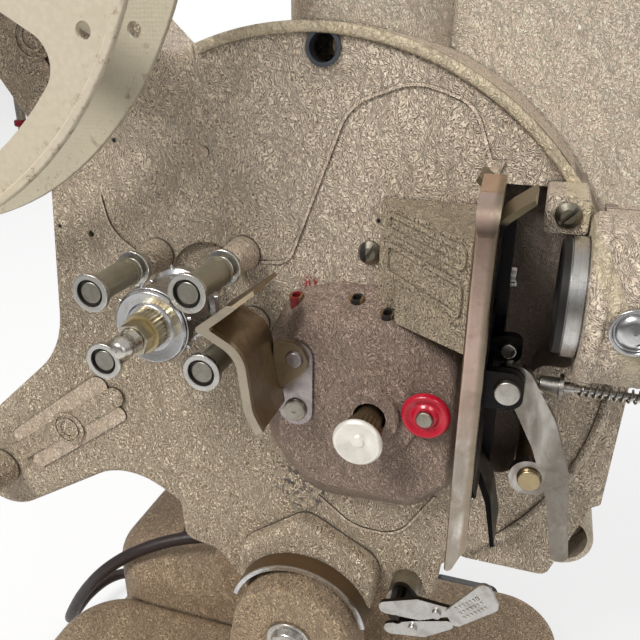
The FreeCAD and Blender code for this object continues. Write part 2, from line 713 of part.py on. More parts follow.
def cap_hinge():
    """The hinge barrels at the back of the lamp house, with their leaf."""
    y = LAMP_BACK + HINGE_BACK
    z = LAMP_TOP - HINGE_DROP
    x0, x1 = LAMP_LEFT + 22, LAMP_RIGHT - 22
    pieces = [Part.makeBox(x1 - x0, 1.6, 14.0, V(x0, LAMP_BACK - 0.1, z - 14.5))]
    for x in (x0, x1 - 14):
        pieces.append(rod_x(y, z, 1.9, x, x + 14))
        pieces.append(Part.makeBox(14, y - LAMP_BACK, 1.5, V(x, LAMP_BACK, z - 1.7)))
    return fused(pieces).cut(rod_x(y, z, 1.0 + RUN_FIT, x0 - 1, x1 + 1))


def hinge_strap():
    """The cap's own hinge knuckle, strap and pin."""
    y = LAMP_BACK + HINGE_BACK
    z = LAMP_TOP - HINGE_DROP
    x0, x1 = LAMP_LEFT + 22, LAMP_RIGHT - 22
    pin = rod_x(y, z, 1.0, x0 - 1.5, x1 + 1.5)
    knuckle = rod_x(y, z, 1.9, x0 + 14.4, x1 - 14.4)
    leaf = Part.makeBox(x1 - x0 - 28.8, 2.2, 8.0, V(x0 + 14.4, LAMP_BACK + 2.1, z + 0.6))
    return fused([pin, knuckle, leaf])


def lamp_bulb():
    """The projection lamp standing in its socket."""
    z0 = LAMP_BOTTOM + HOUSING_WALL + 9
    return turned_z(LAMP_X, LAMP_Y, [(0, z0, 0), (8.0, z0, 0.5), (9.0, z0 + 6.0, 2.0),
            (BULB_R, z0 + 12.0, 3.0), (BULB_R, z0 + 70.0, 12.0), (0, z0 + 84.0, 0)])


def lamp_socket():
    """The lamp socket on the floor of the lamp house, with the reflector on its bracket."""
    z0 = LAMP_BOTTOM + HOUSING_WALL
    return [turned_z(LAMP_X, LAMP_Y, [(0, z0, 0), (15.0, z0, 1.0), (15.0, z0 + 5, 1.0),
            (12.0, z0 + 9, 1.0), (0, z0 + 9, 0)]), reflector()]


def reflector():
    """A spherical mirror behind the lamp, on its stalk."""
    y = LAMP_Y + BULB_R + 5.0
    z = LAMP_BOTTOM + HOUSING_WALL + 34
    outer = Part.makeSphere(26, V(LAMP_X, y - 24, z)).cut(Part.makeSphere(25, V(LAMP_X, y - 24, z)))
    bowl = outer.common(Part.makeCylinder(13, 20, V(LAMP_X, y - 6, z), V(0, 1, 0)))
    stalk = Part.makeBox(5, 1.5, z - LAMP_BOTTOM - HOUSING_WALL,
            V(LAMP_X - 2.5, y + 1.2, LAMP_BOTTOM + HOUSING_WALL))
    return bowl.fuse(stalk)


def condenser_lenses():
    """Two bulging condenser lenses in one line between lamp and shutter."""
    lenses = []
    for y in (LAMP_FRONT + HOUSING_WALL + 3.0, LAMP_FRONT + HOUSING_WALL + 9.5):
        lens = turned_y(LAMP_X, LENS_Z, [(0, y, 0), (9.2, y, 0), (9.2, y + 1.6, 0),
                (5.6, y + 4.0, 8.0), (0, y + 4.6, 0)])
        lenses.append(lens)
    return lenses


def condenser_mount():
    """The tube that holds the condenser lenses in the lamp house's front wall."""
    y0 = LAMP_FRONT + HOUSING_WALL
    return turned_y(LAMP_X, LENS_Z, [(9.3, y0, 0), (11.5, y0, 0), (11.5, y0 + 15.5, 0),
            (9.3, y0 + 15.5, 0)])


def light_housing():
    """The wedge-shaped box whose sloping face carries the mirror beside the gate."""
    x0, x1 = 46.6, GATE_X - 0.4
    wedge = [(x0, 2.0), (x0, -4.0), (x1, -31.5), (x1, 2.0)]
    outer = prism_z(rounded(wedge, 0), -3.0, LIGHT_TOP)
    low = prism_x([(10.0, -2.4, 0), (-4.0, -1.6, 0), (-31.5, 4.0, 0), (-40.0, 5.7, 0),
            (-40.0, -8.0, 0), (10.0, -8.0, 0)], 40, 80)
    outer = outer.cut(low).cut(cover_body()).cut(bush_clearance())
    inner = prism_z(rounded([(x0 + 3.2, 3.0), (x0 + 3.2, -3.0), (x1 + 1, -28.5), (x1 + 1, 3.0)], 0),
            6.6, 22.5)
    shell = outer.cut(inner).cut(prism_z(box_corners(40, 0.0, 80, 10), -20, 60))
    return shell.fuse(light_relief()).removeSplitter()


LIGHT_TOP = 26.5
BUSH_GAP = 0.35


def bush_clearance():
    """The space that the light housing's lower corner leaves round the nearest oil bush."""
    return Part.makeCylinder(OIL_R + BUSH_GAP, 12.0, V(*OIL_HOLES[2]) - OIL_TILT * 3.5, OIL_TILT)


def light_relief():
    """The raised frames on the light housing's sloping face."""
    start = V(46.6, -4.0, 0)
    slope = V(GATE_X - 47.0, -27.5, 0)
    length = slope.Length
    slope.normalize()
    out = V(slope.y, -slope.x, 0)
    frames = []
    for low, high, left, right in ((10.6, 18.4, 4.0, length - 1.6), (20.6, 25.4, 4.0, length - 1.2)):
        outer = box_corners(left, low, right, high, 1.9)
        inner = box_corners(left + 1.1, low + 1.1, right - 1.1, high - 1.1, 0.8)
        place = lambda u, v: start + slope * u + V(0, 0, v) - out * 0.2
        ring = Part.Face(corner_wire(outer,
                place)).extrude(out * 0.75).cut(Part.Face(corner_wire(inner, place)).extrude(out * 0.75))
        frames.append(ring)
    return fused(frames)


def mirror():
    """The flat mirror inside the light housing."""
    x0, y0 = 51.85, -5.25
    x1, y1 = 67.9, -24.35
    length = math.hypot(x1 - x0, y1 - y0)
    along = V((x1 - x0) / length, (y1 - y0) / length, 0)
    across = V(-along.y, along.x, 0)
    if across.y < 0:
        across = across * -1

    def on_glass(u, v):
        return V(x0, y0, 0) + along * u + V(0, 0, v)

    pane = Part.Face(corner_wire(rounded([(0, 7.0), (length, 7.0), (length, 21.8), (0, 21.8)], 0),
            on_glass))
    return pane.extrude(across * 1.2)


OIL_HOLES = [(25.6, -3.4, 0.3), (41.8, -5.4, 2.3), (50.2, -9.0, 0.8)]
OIL_TILT = V(0, -0.2, 0.98)
OIL_R = 1.8


def cover_body():
    """The mechanism cover's sloping block."""
    back = [(16.6, -12.0, 9), (24.0, 1.5, 8), (36.0, 4.6, 10), (56.0, 4.6, 9), (GATE_X - 1.2, -5.0, 6),
            (GATE_X - 1.2, -47.0, 5), (58.0, -59.0, 10), (28.0, -60.0, 12), (16.0, -44.0, 9)]
    front = [(24.0, -13.5, 6), (30.0, -3.6, 6), (38.0, -0.8, 8), (55.0, -0.8, 7), (GATE_X - 3.2, -7.5, 5),
             (GATE_X - 3.2, -41.0, 4), (58.0, -48.5, 8), (33.0, -47.5, 9), (23.4, -37.0, 6)]
    rear_wire = corner_wire(back, lambda u, v: V(u, 0.0, v))
    front_wire = corner_wire(front, lambda u, v: V(u, COVER_FRONT_Y, v))
    body = Part.makeLoft([rear_wire, front_wire], True, True)
    return body.makeFillet(2.2, front_edges(body, COVER_FRONT_Y))


def mechanism_cover():
    """The raised housing over the pull-down mechanism, with its ring boss."""
    ring = turned_y(MAIN_X, MAIN_Z, [(0, COVER_FRONT_Y - 1.0, 0),
            (COVER_RING_R - 1, COVER_FRONT_Y - 1.0, 0.8),
                                     (COVER_RING_R, COVER_FRONT_Y + 0.5, 0), (0, COVER_FRONT_Y + 0.5, 0)])
    boss = turned_y(MAIN_X, MAIN_Z, [(0, COVER_FRONT_Y - 2.6, 0),
            (COVER_BOSS_R - 0.4, COVER_FRONT_Y - 2.6, 0.9),
                                     (COVER_BOSS_R + 0.2, COVER_FRONT_Y, 0), (0, COVER_FRONT_Y, 0)])
    body = cover_body().fuse(ring).fuse(boss)
    cavity = prism_y(box_corners(36, -40, GATE_X - 6.5, -12, 5.0), COVER_FRONT_Y + 4.5, 1)
    claw_window = prism_x(box_corners(CLAW_Y0 - 0.5, CLAW_Z - 3.0, CLAW_Y0 + CLAW_T + 0.5,
            CLAW_Z + 3.0, 0.0), GATE_X - 8, GATE_X + 2)
    return holed(body, oil_bushes(0.0) + [
        cavity,
        claw_window,
        rod_y(MAIN_X, MAIN_Z, COVER_BORE_R, -30, 1),
        rod_y(*RED_ROLLER, RED_PIN_R, -30, -6),
        rod_y(*SHOE_PIVOT, SHOE_PIN_R, -30, -6),
    ])


RED_ROLLER = (61.6, -20.6)
RED_PIN_R = 1.5
SHOE_PIVOT = (28.6, -25.8)
SHOE_RIVET = (28.9, -11.2)
SHOE_PIN_R = 2.0


def red_roller():
    """The dished red roller beside the inching knob."""
    y = COVER_FRONT_Y - 1.0 - LOOSE
    return turned_y(*RED_ROLLER, [(RED_PIN_R + 0.08, y, 0), (5.3, y, 0.5), (5.9, y - 1.6, 0.6),
            (5.3, y - 3.0, 0.7),
                                  (3.4, y - 2.2, 0.4), (2.6, y - 2.9, 0.4), (RED_PIN_R + 0.08, y - 2.9, 0)])


def red_roller_pin():
    y = COVER_FRONT_Y - 1.0 - LOOSE - 3.1
    return turned_y(*RED_ROLLER, [(0, COVER_FRONT_Y + 6.0, 0), (RED_PIN_R, COVER_FRONT_Y + 6.0, 0),
            (RED_PIN_R, y, 0),
                                  (2.0, y, 0), (2.0, y - 0.85, 0.4), (0, y - 0.85, 0)])


def inching_knob():
    """The white dished knob on its knurled skirt at the end of the main shaft."""
    y = COVER_FRONT_Y - 14.4
    skirt = knurled(MAIN_X, MAIN_Z, 4.6, 0.35, 26, y + 2.6, y + 6.6)
    cap = turned_y(MAIN_X, MAIN_Z, [(0, y + 0.9, 0), (1.3, y + 0.9, 0.3), (1.6, y + 1.5, 0.3),
            (5.2, y, 0.5), (6.1, y + 1.0, 0.7),
                                    (4.8, y + 2.9, 0), (0, y + 2.9, 0)])
    return cap.fuse(skirt).removeSplitter()


def main_shaft():
    """The main shaft with its cam and pinion, from the inching knob back to the motor."""
    front = COVER_FRONT_Y - 7.8
    first, _, _, _ = gear_phases()
    cam = prism_y([(MAIN_X + 4.2, MAIN_Z, 1.5), (MAIN_X - 3.4, MAIN_Z + 4.6, 1.5),
            (MAIN_X - 3.4, MAIN_Z - 4.6, 1.5)], -5.6, -2.6)
    return fused([
        rod_y(MAIN_X, MAIN_Z, 3.3, front, -1.0),
        rod_y(MAIN_X, MAIN_Z, MAIN_SHAFT_R, -1.0, REAR_BACK - 6),
        cam,
        toothed_wheel(MAIN_X, MAIN_Z, MAIN_PINION_T, MODULE, GEAR_Y0, GEAR_W, MAIN_SHAFT_R - 0.1, first),
    ])


CLAW_Y0 = -5.6
CLAW_T = 2.6
CLAW_Z = -30.0


def film_claw():
    """The shuttle frame round the cam, with its two claws at the gate."""
    frame = prism_y(box_corners(MAIN_X - 9, MAIN_Z - 9.5, MAIN_X + 10.5, MAIN_Z + 9.5, 2.0),
            CLAW_Y0, CLAW_Y0 + CLAW_T)
    frame = frame.cut(prism_y(box_corners(MAIN_X - 5.6, MAIN_Z - 6.6, MAIN_X + 5.6, MAIN_Z + 6.6,
            0.5), -8, 0))
    start = MAIN_X + 9.5
    arm = Part.makeBox(GATE_X - LOOSE - start, CLAW_T, 3.4, V(start, CLAW_Y0, CLAW_Z - 1.7))
    return frame.fuse(arm).removeSplitter()


def idler_place():
    """The idler's axis, where both gear distances are met."""
    to_main = (MAIN_PINION_T + IDLER_WHEEL_T) * MODULE / 2
    to_sprocket = (IDLER_PINION_T + SPROCKET_WHEEL_T) * MODULE / 2
    apart = math.hypot(MAIN_X, MAIN_Z)
    along = (to_sprocket ** 2 - to_main ** 2 + apart ** 2) / (2 * apart)
    off = math.sqrt(to_sprocket ** 2 - along ** 2)
    ux, uz = MAIN_X / apart, MAIN_Z / apart
    return ux * along + uz * off, uz * along - ux * off


def mesh_phase(angle, phase, teeth, other):
    """The phase of a wheel in mesh with another whose centre line leaves at angle."""
    return angle + 180 + 180.0 / other - (phase - angle) * teeth / other


def gear_phases():
    ix, iz = idler_place()
    to_idler = math.degrees(math.atan2(iz - MAIN_Z, ix - MAIN_X))
    wheel = mesh_phase(to_idler, to_idler, MAIN_PINION_T, IDLER_WHEEL_T)
    to_sprocket = math.degrees(math.atan2(-iz, -ix))
    last = mesh_phase(to_sprocket, to_sprocket, IDLER_PINION_T, SPROCKET_WHEEL_T)
    return to_idler, wheel, to_sprocket, last


def idler_gear():
    """The idler: a big wheel driven by the main pinion and a small one that drives the sprocket."""
    ix, iz = idler_place()
    _, wheel, pinion, _ = gear_phases()
    big = toothed_wheel(ix, iz, IDLER_WHEEL_T, MODULE, GEAR_Y0, GEAR_W, IDLER_STUD_R + RUN_FIT, wheel)
    small = toothed_wheel(ix, iz, IDLER_PINION_T, MODULE, GEAR_Y0 + GEAR_W, GEAR_W + GEAR_STEP,
            IDLER_STUD_R + RUN_FIT, pinion)
    return big.fuse(small).removeSplitter()


def sprocket_gear():
    _, _, _, last = gear_phases()
    y0 = GEAR_Y0 + GEAR_W + GEAR_STEP
    return toothed_wheel(0, 0, SPROCKET_WHEEL_T, MODULE, y0, GEAR_W, SPROCKET_SHAFT_R - 0.1, last)


def shutter():
    """Three blades on a hub, turning behind the front wall."""
    disc = rod_y(MAIN_X, MAIN_Z, SHUTTER_R, SHUTTER_Y0, SHUTTER_Y0 + SHUTTER_T)
    gaps = []
    for i in range(3):
        gap = []
        start = 20 + i * 120
        gap += [(MAIN_X + 14 * math.cos(math.radians(start + 25)),
                MAIN_Z + 14 * math.sin(math.radians(start + 25)), 2.0)]
        for angle in (start, start + 50):
            gap.append((MAIN_X + 70 * math.cos(math.radians(angle)),
                    MAIN_Z + 70 * math.sin(math.radians(angle)), 0))
        gaps.append(prism_y(gap, 0, 30))
    hub = rod_y(MAIN_X, MAIN_Z, 6.0, SHUTTER_Y0 - 2.4, SHUTTER_Y0)
    return holed(disc, gaps).fuse(hub).cut(rod_y(MAIN_X, MAIN_Z, MAIN_SHAFT_R, 0, 40)).removeSplitter()


def motor_case():
    """The motor's can with its two end bells, bolted to the back plate."""
    y0 = CASTING_D + BACK_PLATE_T + 6
    y1 = y0 + 34
    can = turned_y(MAIN_X, MAIN_Z, [(3.4, y0, 0), (MOTOR_R, y0, 3.0), (MOTOR_R, y1, 3.0),
            (3.4, y1, 0), (3.4, y1 - 3, 0),
                                    (MOTOR_R - 3, y1 - 3, 0), (MOTOR_R - 3, y0 + 3, 0), (3.4, y0 + 3, 0)])
    feet = []
    for side in (-1, 1):
        feet.append(rod_y(MAIN_X + side * (MOTOR_R - 4), MAIN_Z, 2.6, y0 - 6, y0 + 1))
        feet.append(rod_y(MAIN_X, MAIN_Z + side * (MOTOR_R - 4), 2.6, y0 - 6, y0 + 1))
    return fused([can] + feet)


def motor_rotor():
    """The motor's rotor and the blower wheel on the main shaft."""
    y0 = CASTING_D + BACK_PLATE_T + 12
    return [tube_y(MAIN_X, MAIN_Z, MOTOR_R - 6, MAIN_SHAFT_R, y0, y0 + 22), cooling_fan()]


def cooling_fan():
    """The blower wheel behind the motor."""
    y0 = REAR_BACK - 14.5
    disc = tube_y(MAIN_X, MAIN_Z, MOTOR_R, MAIN_SHAFT_R, y0 + 5.5, y0 + 6.5)
    hub = tube_y(MAIN_X, MAIN_Z, 5.0, MAIN_SHAFT_R, y0, y0 + 6.5)
    fan = disc.fuse(hub)
    for i in range(10):
        blade = Part.makeBox(8, 5.6, 0.8, V(MAIN_X + 11.5, y0, MAIN_Z))
        blade.rotate(V(MAIN_X, 0, MAIN_Z), V(0, 1, 0), i * 36)
        fan = fan.fuse(blade)
    return fan.removeSplitter()


def sprocket():
    """The film sprocket: two toothed rims with a waist between them."""
    y0 = FILM_MID_Y - FILM_W / 2 - FILM_SIDE_GAP
    y1 = FILM_MID_Y + FILM_W / 2 + FILM_SIDE_GAP
    rim = 2.4
    drum = turned_y(0, 0, [(SPROCKET_SHAFT_R, y0, 0), (DRUM_ROLL_R, y0, 0.3),
            (DRUM_ROLL_R, y0 + rim, 0), (DRUM_ROLL_R - 1.1, y0 + rim + 0.6, 0),
                           (DRUM_ROLL_R - 1.1, y1 - rim - 0.6, 0), (DRUM_ROLL_R, y1 - rim, 0),
                           (DRUM_ROLL_R, y1, 0.3), (6.4, y1 + 0.6, 0),
                           (6.4, -9.5, 0.5), (SPROCKET_SHAFT_R, -9.5, 0)])
    teeth = []
    for i in range(SPROCKET_TEETH):
        angle = 2 * math.pi * (i + 0.35) / SPROCKET_TEETH
        out = V(math.cos(angle), 0, math.sin(angle))
        for y in (y0 + 1.3, y1 - 1.3):
            teeth.append(Part.makeCone(0.66, 0.36, 1.15, V(0, y, 0) + out * (DRUM_ROLL_R - 0.4), out))
    return fused([drum, sprocket_disc()] + teeth)


def sprocket_disc():
    """The bright disc in front of the sprocket with its raised inner ring."""
    y1 = FILM_MID_Y - FILM_W / 2 - FILM_SIDE_GAP
    y0 = y1 - 1.5
    return turned_y(0, 0, [(SPROCKET_SHAFT_R, y1, 0), (SPROCKET_DISC_R - 0.3, y1, 0.2),
            (SPROCKET_DISC_R, y1 - 0.5, 0.2), (SPROCKET_DISC_R - 0.5, y0 + 0.3, 0.3),
                           (6.0, y0 + 0.6, 0), (5.6, y0, 0.2), (SPROCKET_SHAFT_R, y0, 0)])


def sprocket_nut():
    """The knurled nut with its hexagon and rounded tip."""
    y1 = FILM_MID_Y - FILM_W / 2 - FILM_SIDE_GAP - 1.5
    collar = knurled(0, 0, 4.7, 0.3, 30, y1 - 3.4, y1)
    flat = rounded([(3.9 * math.cos(math.radians(60 * i + 10)),
            3.9 * math.sin(math.radians(60 * i + 10))) for i in range(6)], 0)
    hexagon = prism_y(flat, y1 - 7.0, y1 - 3.4)
    tip = turned_y(0, 0, [(0, y1 - 7.0, 0), (3.1, y1 - 7.0, 0.4), (2.5, y1 - 9.0, 1.0),
            (2.7, y1 - 11.0, 1.5), (1.6, y1 - 13.0, 1.2), (0, y1 - 13.2, 0)])
    return collar.fuse(hexagon).fuse(tip).cut(rod_y(0, 0, SPROCKET_SHAFT_R, y1 - 3,
            y1 + 1)).removeSplitter()


def sprocket_shaft():
    """The sprocket's shaft with its gear and belt pulley."""
    y0 = FILM_MID_Y - FILM_W / 2 - FILM_SIDE_GAP - 1.5 - 3.0
    return fused([
        rod_y(0, 0, SPROCKET_SHAFT_R, y0, CASTING_D - 0.4),
        rod_y(0, 0, SPROCKET_SHAFT_R - 1, CASTING_D - 0.4, CASTING_D + BACK_PLATE_T - 0.4),
        sprocket_gear(),
        pulley(0, 0, BELT_DRIVE_R, SPROCKET_SHAFT_R - 0.1),
    ])


def film_roller(x, z):
    """A flanged film roller with a waist behind its front flange and a shoulder near its back one."""
    f = ROLLER_FRONT_Y
    b = f + ROLLER_LEN
    return turned_y(x, z, [
        (ROLLER_BORE_R, f + 1.4, 0), (3.35, f + 1.4, 0), (3.35, f, 0), (ROLLER_FLANGE_R, f, 0.25),
        (ROLLER_FLANGE_R, f + 1.3, 0.3),
        (ROLLER_BODY_R, f + 2.6, 0.6), (ROLLER_BODY_R, b - 4.2, 0),
        (ROLLER_BODY_R + 0.45, b - 4.2, 0), (ROLLER_BODY_R + 0.45, b - 3.4, 0),
        (ROLLER_NECK_R, b - 3.4, 0), (ROLLER_NECK_R, b - 1.5, 0.4), (ROLLER_FLANGE_R, b - 1.2, 0.3),
        (ROLLER_FLANGE_R, b, 0.25), (ROLLER_BORE_R, b, 0),
    ])


def roller_studs():
    """The four studs that the film rollers turn on, with their round heads."""
    studs = []
    for x, z in ROLLERS.values():
        f = ROLLER_FRONT_Y
        studs.append(turned_y(x, z, [(0, f + 0.4, 0), (2.65, f + 0.4, 0.4), (2.65, f + 1.3, 0),
                (ROLLER_BORE_R - RUN_FIT, f + 1.3, 0),
                                     (ROLLER_BORE_R - RUN_FIT, -9.2, 0), (0, -9.2, 0)]))
    return studs


SHOE_EDGE = [(23.9, 10.2, 0), (12.0, 1.3, 0.8), (21.6, -3.6, 7.0), (23.2, -18.0, 9.0), (25.9, -23.0, 0)]
SHOE_T = 0.9


def film_shoe():
    """The curved shoe that keeps the film on the sprocket, with the lug it is riveted by."""
    inner = []
    for i in range(len(SHOE_EDGE)):
        inner.append(SHOE_EDGE[i])
    outer = [(24.5, 9.5, 0), (14.2, 1.6, 0.4), (22.5, -3.0, 8.0), (24.1, -17.8, 10.0), (26.7, -22.5, 0)]
    y0 = FILM_MID_Y - FILM_W / 2 - 1.6
    y1 = FILM_MID_Y + FILM_W / 2 + 0.2
    sheet = prism_y(inner + outer[::-1], y0, y1)
    trim = prism_x([(y0 + 9, -30.0, 0), (y1 + 3, -30.0, 0), (y1 + 3, -16.5, 0)], 10, 40)
    lip = prism_x([(y0 - 1, 12.0, 0), (y0 + 7, 12.0, 0), (y0 - 1, 5.6, 0)], 16, 40)
    lug = prism_y([(23.6, -7.0, 0.5), (SHOE_RIVET[0] + 1, SHOE_RIVET[1] + 4.2, 3.6),
            (SHOE_RIVET[0] + 4.2, SHOE_RIVET[1] - 1.5, 3.6),
                   (24.3, -20.5, 1.0), (23.2, -17.5, 0.2)], y1 - 1.2, y1)
    rolled = prism_y([(23.5, 10.8, 0), (11.2, 1.3, 0.8), (21.1, -4.0, 7.0), (22.7, -18.1, 9.0),
            (25.4, -23.4, 0),
                      (27.2, -22.2, 0), (24.8, -17.6, 10.0), (23.1, -2.8, 8.0), (14.9, 1.8, 0.5),
                      (24.8, 9.8, 0)], y0 - 0.3, y0 + 1.2)
    return fused([sheet.cut(trim).cut(lip), rolled.cut(lip), lug]).cut(rod_y(*SHOE_RIVET,
            1.6 + RUN_FIT, -30, 0))


def shoe_link():
    """The flat link that the shoe swings on, with its rivet."""
    y0 = FILM_MID_Y + FILM_W / 2 + 0.2
    plate = prism_y(strap([(*SHOE_PIVOT, 4.4), (*SHOE_RIVET, 4.2)]), y0, y0 + 0.8)
    rivet = turned_y(SHOE_RIVET[0], SHOE_RIVET[1], [(0, y0 + 0.5, 0), (1.6, y0 + 0.5, 0),
            (1.6, y0 - 1.25, 0), (2.3, y0 - 1.25, 0),
                                                  (1.9, y0 - 2.1, 0.4), (0, y0 - 2.2, 0)])
    return plate.cut(rod_y(*SHOE_PIVOT, SHOE_PIN_R + 0.05, -30, 0)).fuse(rivet).removeSplitter()


def shoe_pin():
    """The pivot pin of the shoe's link, standing in the mechanism cover."""
    y0 = FILM_MID_Y + FILM_W / 2 + 0.2
    return turned_y(*SHOE_PIVOT, [(0, -6.2, 0), (SHOE_PIN_R, -6.2, 0), (SHOE_PIN_R, y0 - 0.15, 0),
            (3.0, y0 - 0.15, 0),
                                  (2.8, y0 - 1.2, 0.5), (0, y0 - 1.3, 0)])


def gate_bar():
    """The polished bar along the front of the gate, its top bent over and its foot rounded."""
    y = GATE_BAR_Y
    t = GATE_BAR_T
    strip = [(y, -46.0, 0), (y + t, -46.0, 0), (y + t, 31.0, 5.0), (y + t + 9.0, 36.5, 0),
            (y + t + 8.0, 38.6, 0.6), (y, 34.6, 8.0)]
    bar = prism_x(strip, GATE_X, GATE_X + GATE_BAR_W)
    foot = prism_y([(GATE_X - 3, 60, 0), (GATE_X + 8, 60, 0), (GATE_X + 8, -38.0, 0),
            (GATE_X + 4.3, -38.5, 6.0), (GATE_X + 1.4, -46.0, 1.5),
                    (GATE_X - 0.6, -46.0, 1.0), (GATE_X - 3, -30, 0)], y - 3, y + 14)
    web = Part.makeBox(1.2, 4.0, 70.0, V(GATE_X, y + t, -37.0))
    eased = prism_z([(GATE_X, y, 0.8), (GATE_X + GATE_BAR_W, y, 0.8),
            (GATE_X + GATE_BAR_W, y + 20, 0), (GATE_X, y + 20, 0)], -60, 60)
    return fused([bar.common(foot).common(eased), web])


def gate_plate():
    """The aperture plate behind the film, on its foot in the casting."""
    front = GATE_BAR_Y + GATE_BAR_T + 4.0
    plate = Part.makeBox(GATE_PLATE_T, -front, 72.0, V(GATE_X, front, -40.0))
    window = prism_x(box_corners(FILM_MID_Y - 5.1, LENS_Z - 3.7, FILM_MID_Y + 5.1, LENS_Z + 3.7,
            0.6), GATE_X - 2, GATE_X + 6)
    slot = prism_x(box_corners(CLAW_Y0 - 0.6, CLAW_Z - 5.0, CLAW_Y0 + CLAW_T + 0.6, CLAW_Z + 5.0,
            0.8), GATE_X - 2, GATE_X + 6)
    lip = prism_y([(GATE_X + 1.2, 31.9, 0), (GATE_X + GATE_PLATE_T, 31.9, 0),
            (GATE_X + 1.0, 36.0, 1.0), (GATE_X - 1.0, 37.5, 0), (GATE_X - 1.6, 36.6, 0),
                   (GATE_X, 35.0, 1.0)], -24.4, FILM_MID_Y + 9)
    return plate.cut(window).cut(slot).fuse(lip).removeSplitter()


def pressure_plate():
    """The black pressure plate with its flared top lip and pointed lower tongue."""
    x0 = GATE_X + GATE_PLATE_T + GATE_GAP
    profile = [(x0, 30.2, 7.0), (x0, -29.0, 3.0), (x0 + 3.9, -36.5, 6.0), (x0 + 6.2, -46.0, 0),
            (x0 + 7.0, -45.6, 0), (x0 + 5.0, -35.6, 6.0),
               (x0 + 1.4, -28.6, 2.0), (x0 + 1.4, 29.4, 5.6), (x0 + 7.2, 34.2, 0), (x0 + 6.8, 35.1, 0)]
    sheet = prism_y(profile, -30.4, -11.5)
    point = prism_x([(-20.0, -30.0, 0), (-11.0, -30.0, 0), (-11.0, -60.0, 0), (-35.0, -60.0, 0),
            (-26.0, -46.5, 2.0)], x0 - 1, x0 + 12)
    middle = prism_x(box_corners(-40.0, -30.0, 0.0, 24.0), x0 - 1, x0 + 12)
    upper = prism_x([(-40.0, 24.0, 0), (-15.6, 24.0, 0), (-15.6, 60.0, 0), (-40.0, 60.0, 0)],
            x0 - 1, x0 + 12)
    sheet = sheet.common(fused([middle, upper, point]))
    window = prism_x(box_corners(FILM_MID_Y - 5.6, LENS_Z - 4.2, FILM_MID_Y + 5.6, LENS_Z + 4.2,
            0.6), x0 - 2, x0 + 3)
    return sheet.cut(window).removeSplitter()


def gate_carriage():
    """The black slide with its pressure plate and two lugs."""
    x0 = GATE_X + GATE_PLATE_T + GATE_GAP + 1.4
    spine = Part.makeBox(2.2, 8.0, 46.0, V(x0, -11.0, -36.0)).fuse(Part.makeBox(2.2, 5.0, 8.0,
            V(x0, -14.0, 20.0)))
    spine = spine.fuse(Part.makeBox(2.2, 4.0, 46.0, V(x0, -14.4, -16.0)))
    lug = prism_y([(x0 - 0.5, 0.6, 0.8), (LEVER_PIN_X + 3.2, 0.6, 3.0),
            (LEVER_PIN_X + 3.2, LEVER_PIN_Z - 3.4, 2.4), (x0 - 0.5, -8.0, 0.8)], -30.2, -27.8)
    arm = Part.makeBox(1.1, 20.0, 7.6, V(x0, -30.0, -7.4))
    second = prism_y([(x0, 3.6, 0.5), (LEVER_PIN_X - 1.6, 4.6, 1.6), (LEVER_PIN_X + 1.9, 4.4, 2.0),
            (LEVER_PIN_X + 1.9, -1.2, 2.0), (x0, -1.4, 0.5)], -21.0, -18.6)
    second = second.fuse(Part.makeBox(2.0, 9.0, 4.6, V(x0, -21.0, -1.2)))
    return holed(fused([pressure_plate(), spine, lug, arm, second]), carriage_pins())


def carriage_pins():
    """The lever's pin and the small pin on the slide, and the slide's round screw."""
    big = turned_y(LEVER_PIN_X, LEVER_PIN_Z, [(0, -31.2, 0), (2.5, -31.2, 0.4), (2.7, -30.2, 0),
            (1.5, -30.2, 0), (1.5, -24.6, 0), (0, -24.6, 0)])
    small = turned_y(LEVER_PIN_X - 0.8, 1.6, [(0, -22.4, 0), (1.6, -22.4, 0.3), (1.6, -21.0, 0),
            (0.9, -21.0, 0), (0.9, -18.6, 0), (0, -18.6, 0)])
    x0 = GATE_X + GATE_PLATE_T + GATE_GAP + 3.6
    stud = turned_x(-7.0, 12.8, [(0, x0 - 0.6, 0), (2.6, x0 - 0.6, 0), (2.6, x0 + 1.4, 0.5),
            (0, x0 + 1.4, 0)])
    return [big, small, stud]


def gate_lever():
    """The bright hand lever that opens the gate, with its pivot eye and slotted top."""
    eye = (LEVER_PIVOT_X, LEVER_PIVOT_Z)
    blade = [(77.2, -7.4, 1.9), (76.4, 1.2, 3.1), (82.6, 1.2, 4.6), (89.4, -10.2, 14.0),
            (93.6, -22.5, 20.0), (96.3, -44.6, 1.8),
             (92.6, -44.6, 1.4), (89.9, -29.5, 2.0), (85.6, -17.2, 8.0), (80.6, -7.6, 2.6)]
    body = prism_y(blade, LEVER_Y, LEVER_Y + LEVER_T).fuse(rod_y(*eye, 4.2, LEVER_Y, LEVER_Y + LEVER_T))
    slot = prism_y(capsule(LEVER_PIN_X - 0.05, LEVER_PIN_Z + 0.2, LEVER_PIN_X + 0.33,
            LEVER_PIN_Z - 1.1, 1.6), -40, 0)
    return body.cut(slot).cut(rod_y(*eye, 2.0 + RUN_FIT, -40, 0)).removeSplitter()


def gate_rod():
    """The sprung rod that leads the slide, with its nickel end, washer and collar, and the slide's pins."""
    y, z = ROD_Y, ROD_Z
    x0 = GATE_X + GATE_PLATE_T + GATE_GAP + 1.4 + 2.0
    rod = turned_x(y, z, [(0, x0 + 8.6, 0), (1.9, x0 + 8.6, 0.3), (1.9, 89.5, 0), (2.9, 89.5, 0),
            (2.9, 90.3, 0), (1.2, 90.3, 0), (1.2, SPRING_X0 - 0.3, 0.2),
                           (ROD_R, SPRING_X0 - 0.3, 0), (ROD_R, 112.5, 0.3), (0, 112.5, 0)]).fuse(
        turned_x(y, z, [(0, x0 - 0.1, 0), (1.2, x0 - 0.1, 0), (1.2, x0 + 8.7, 0),
        (0, x0 + 8.7, 0)])).removeSplitter()
    return [rod] + carriage_pins()


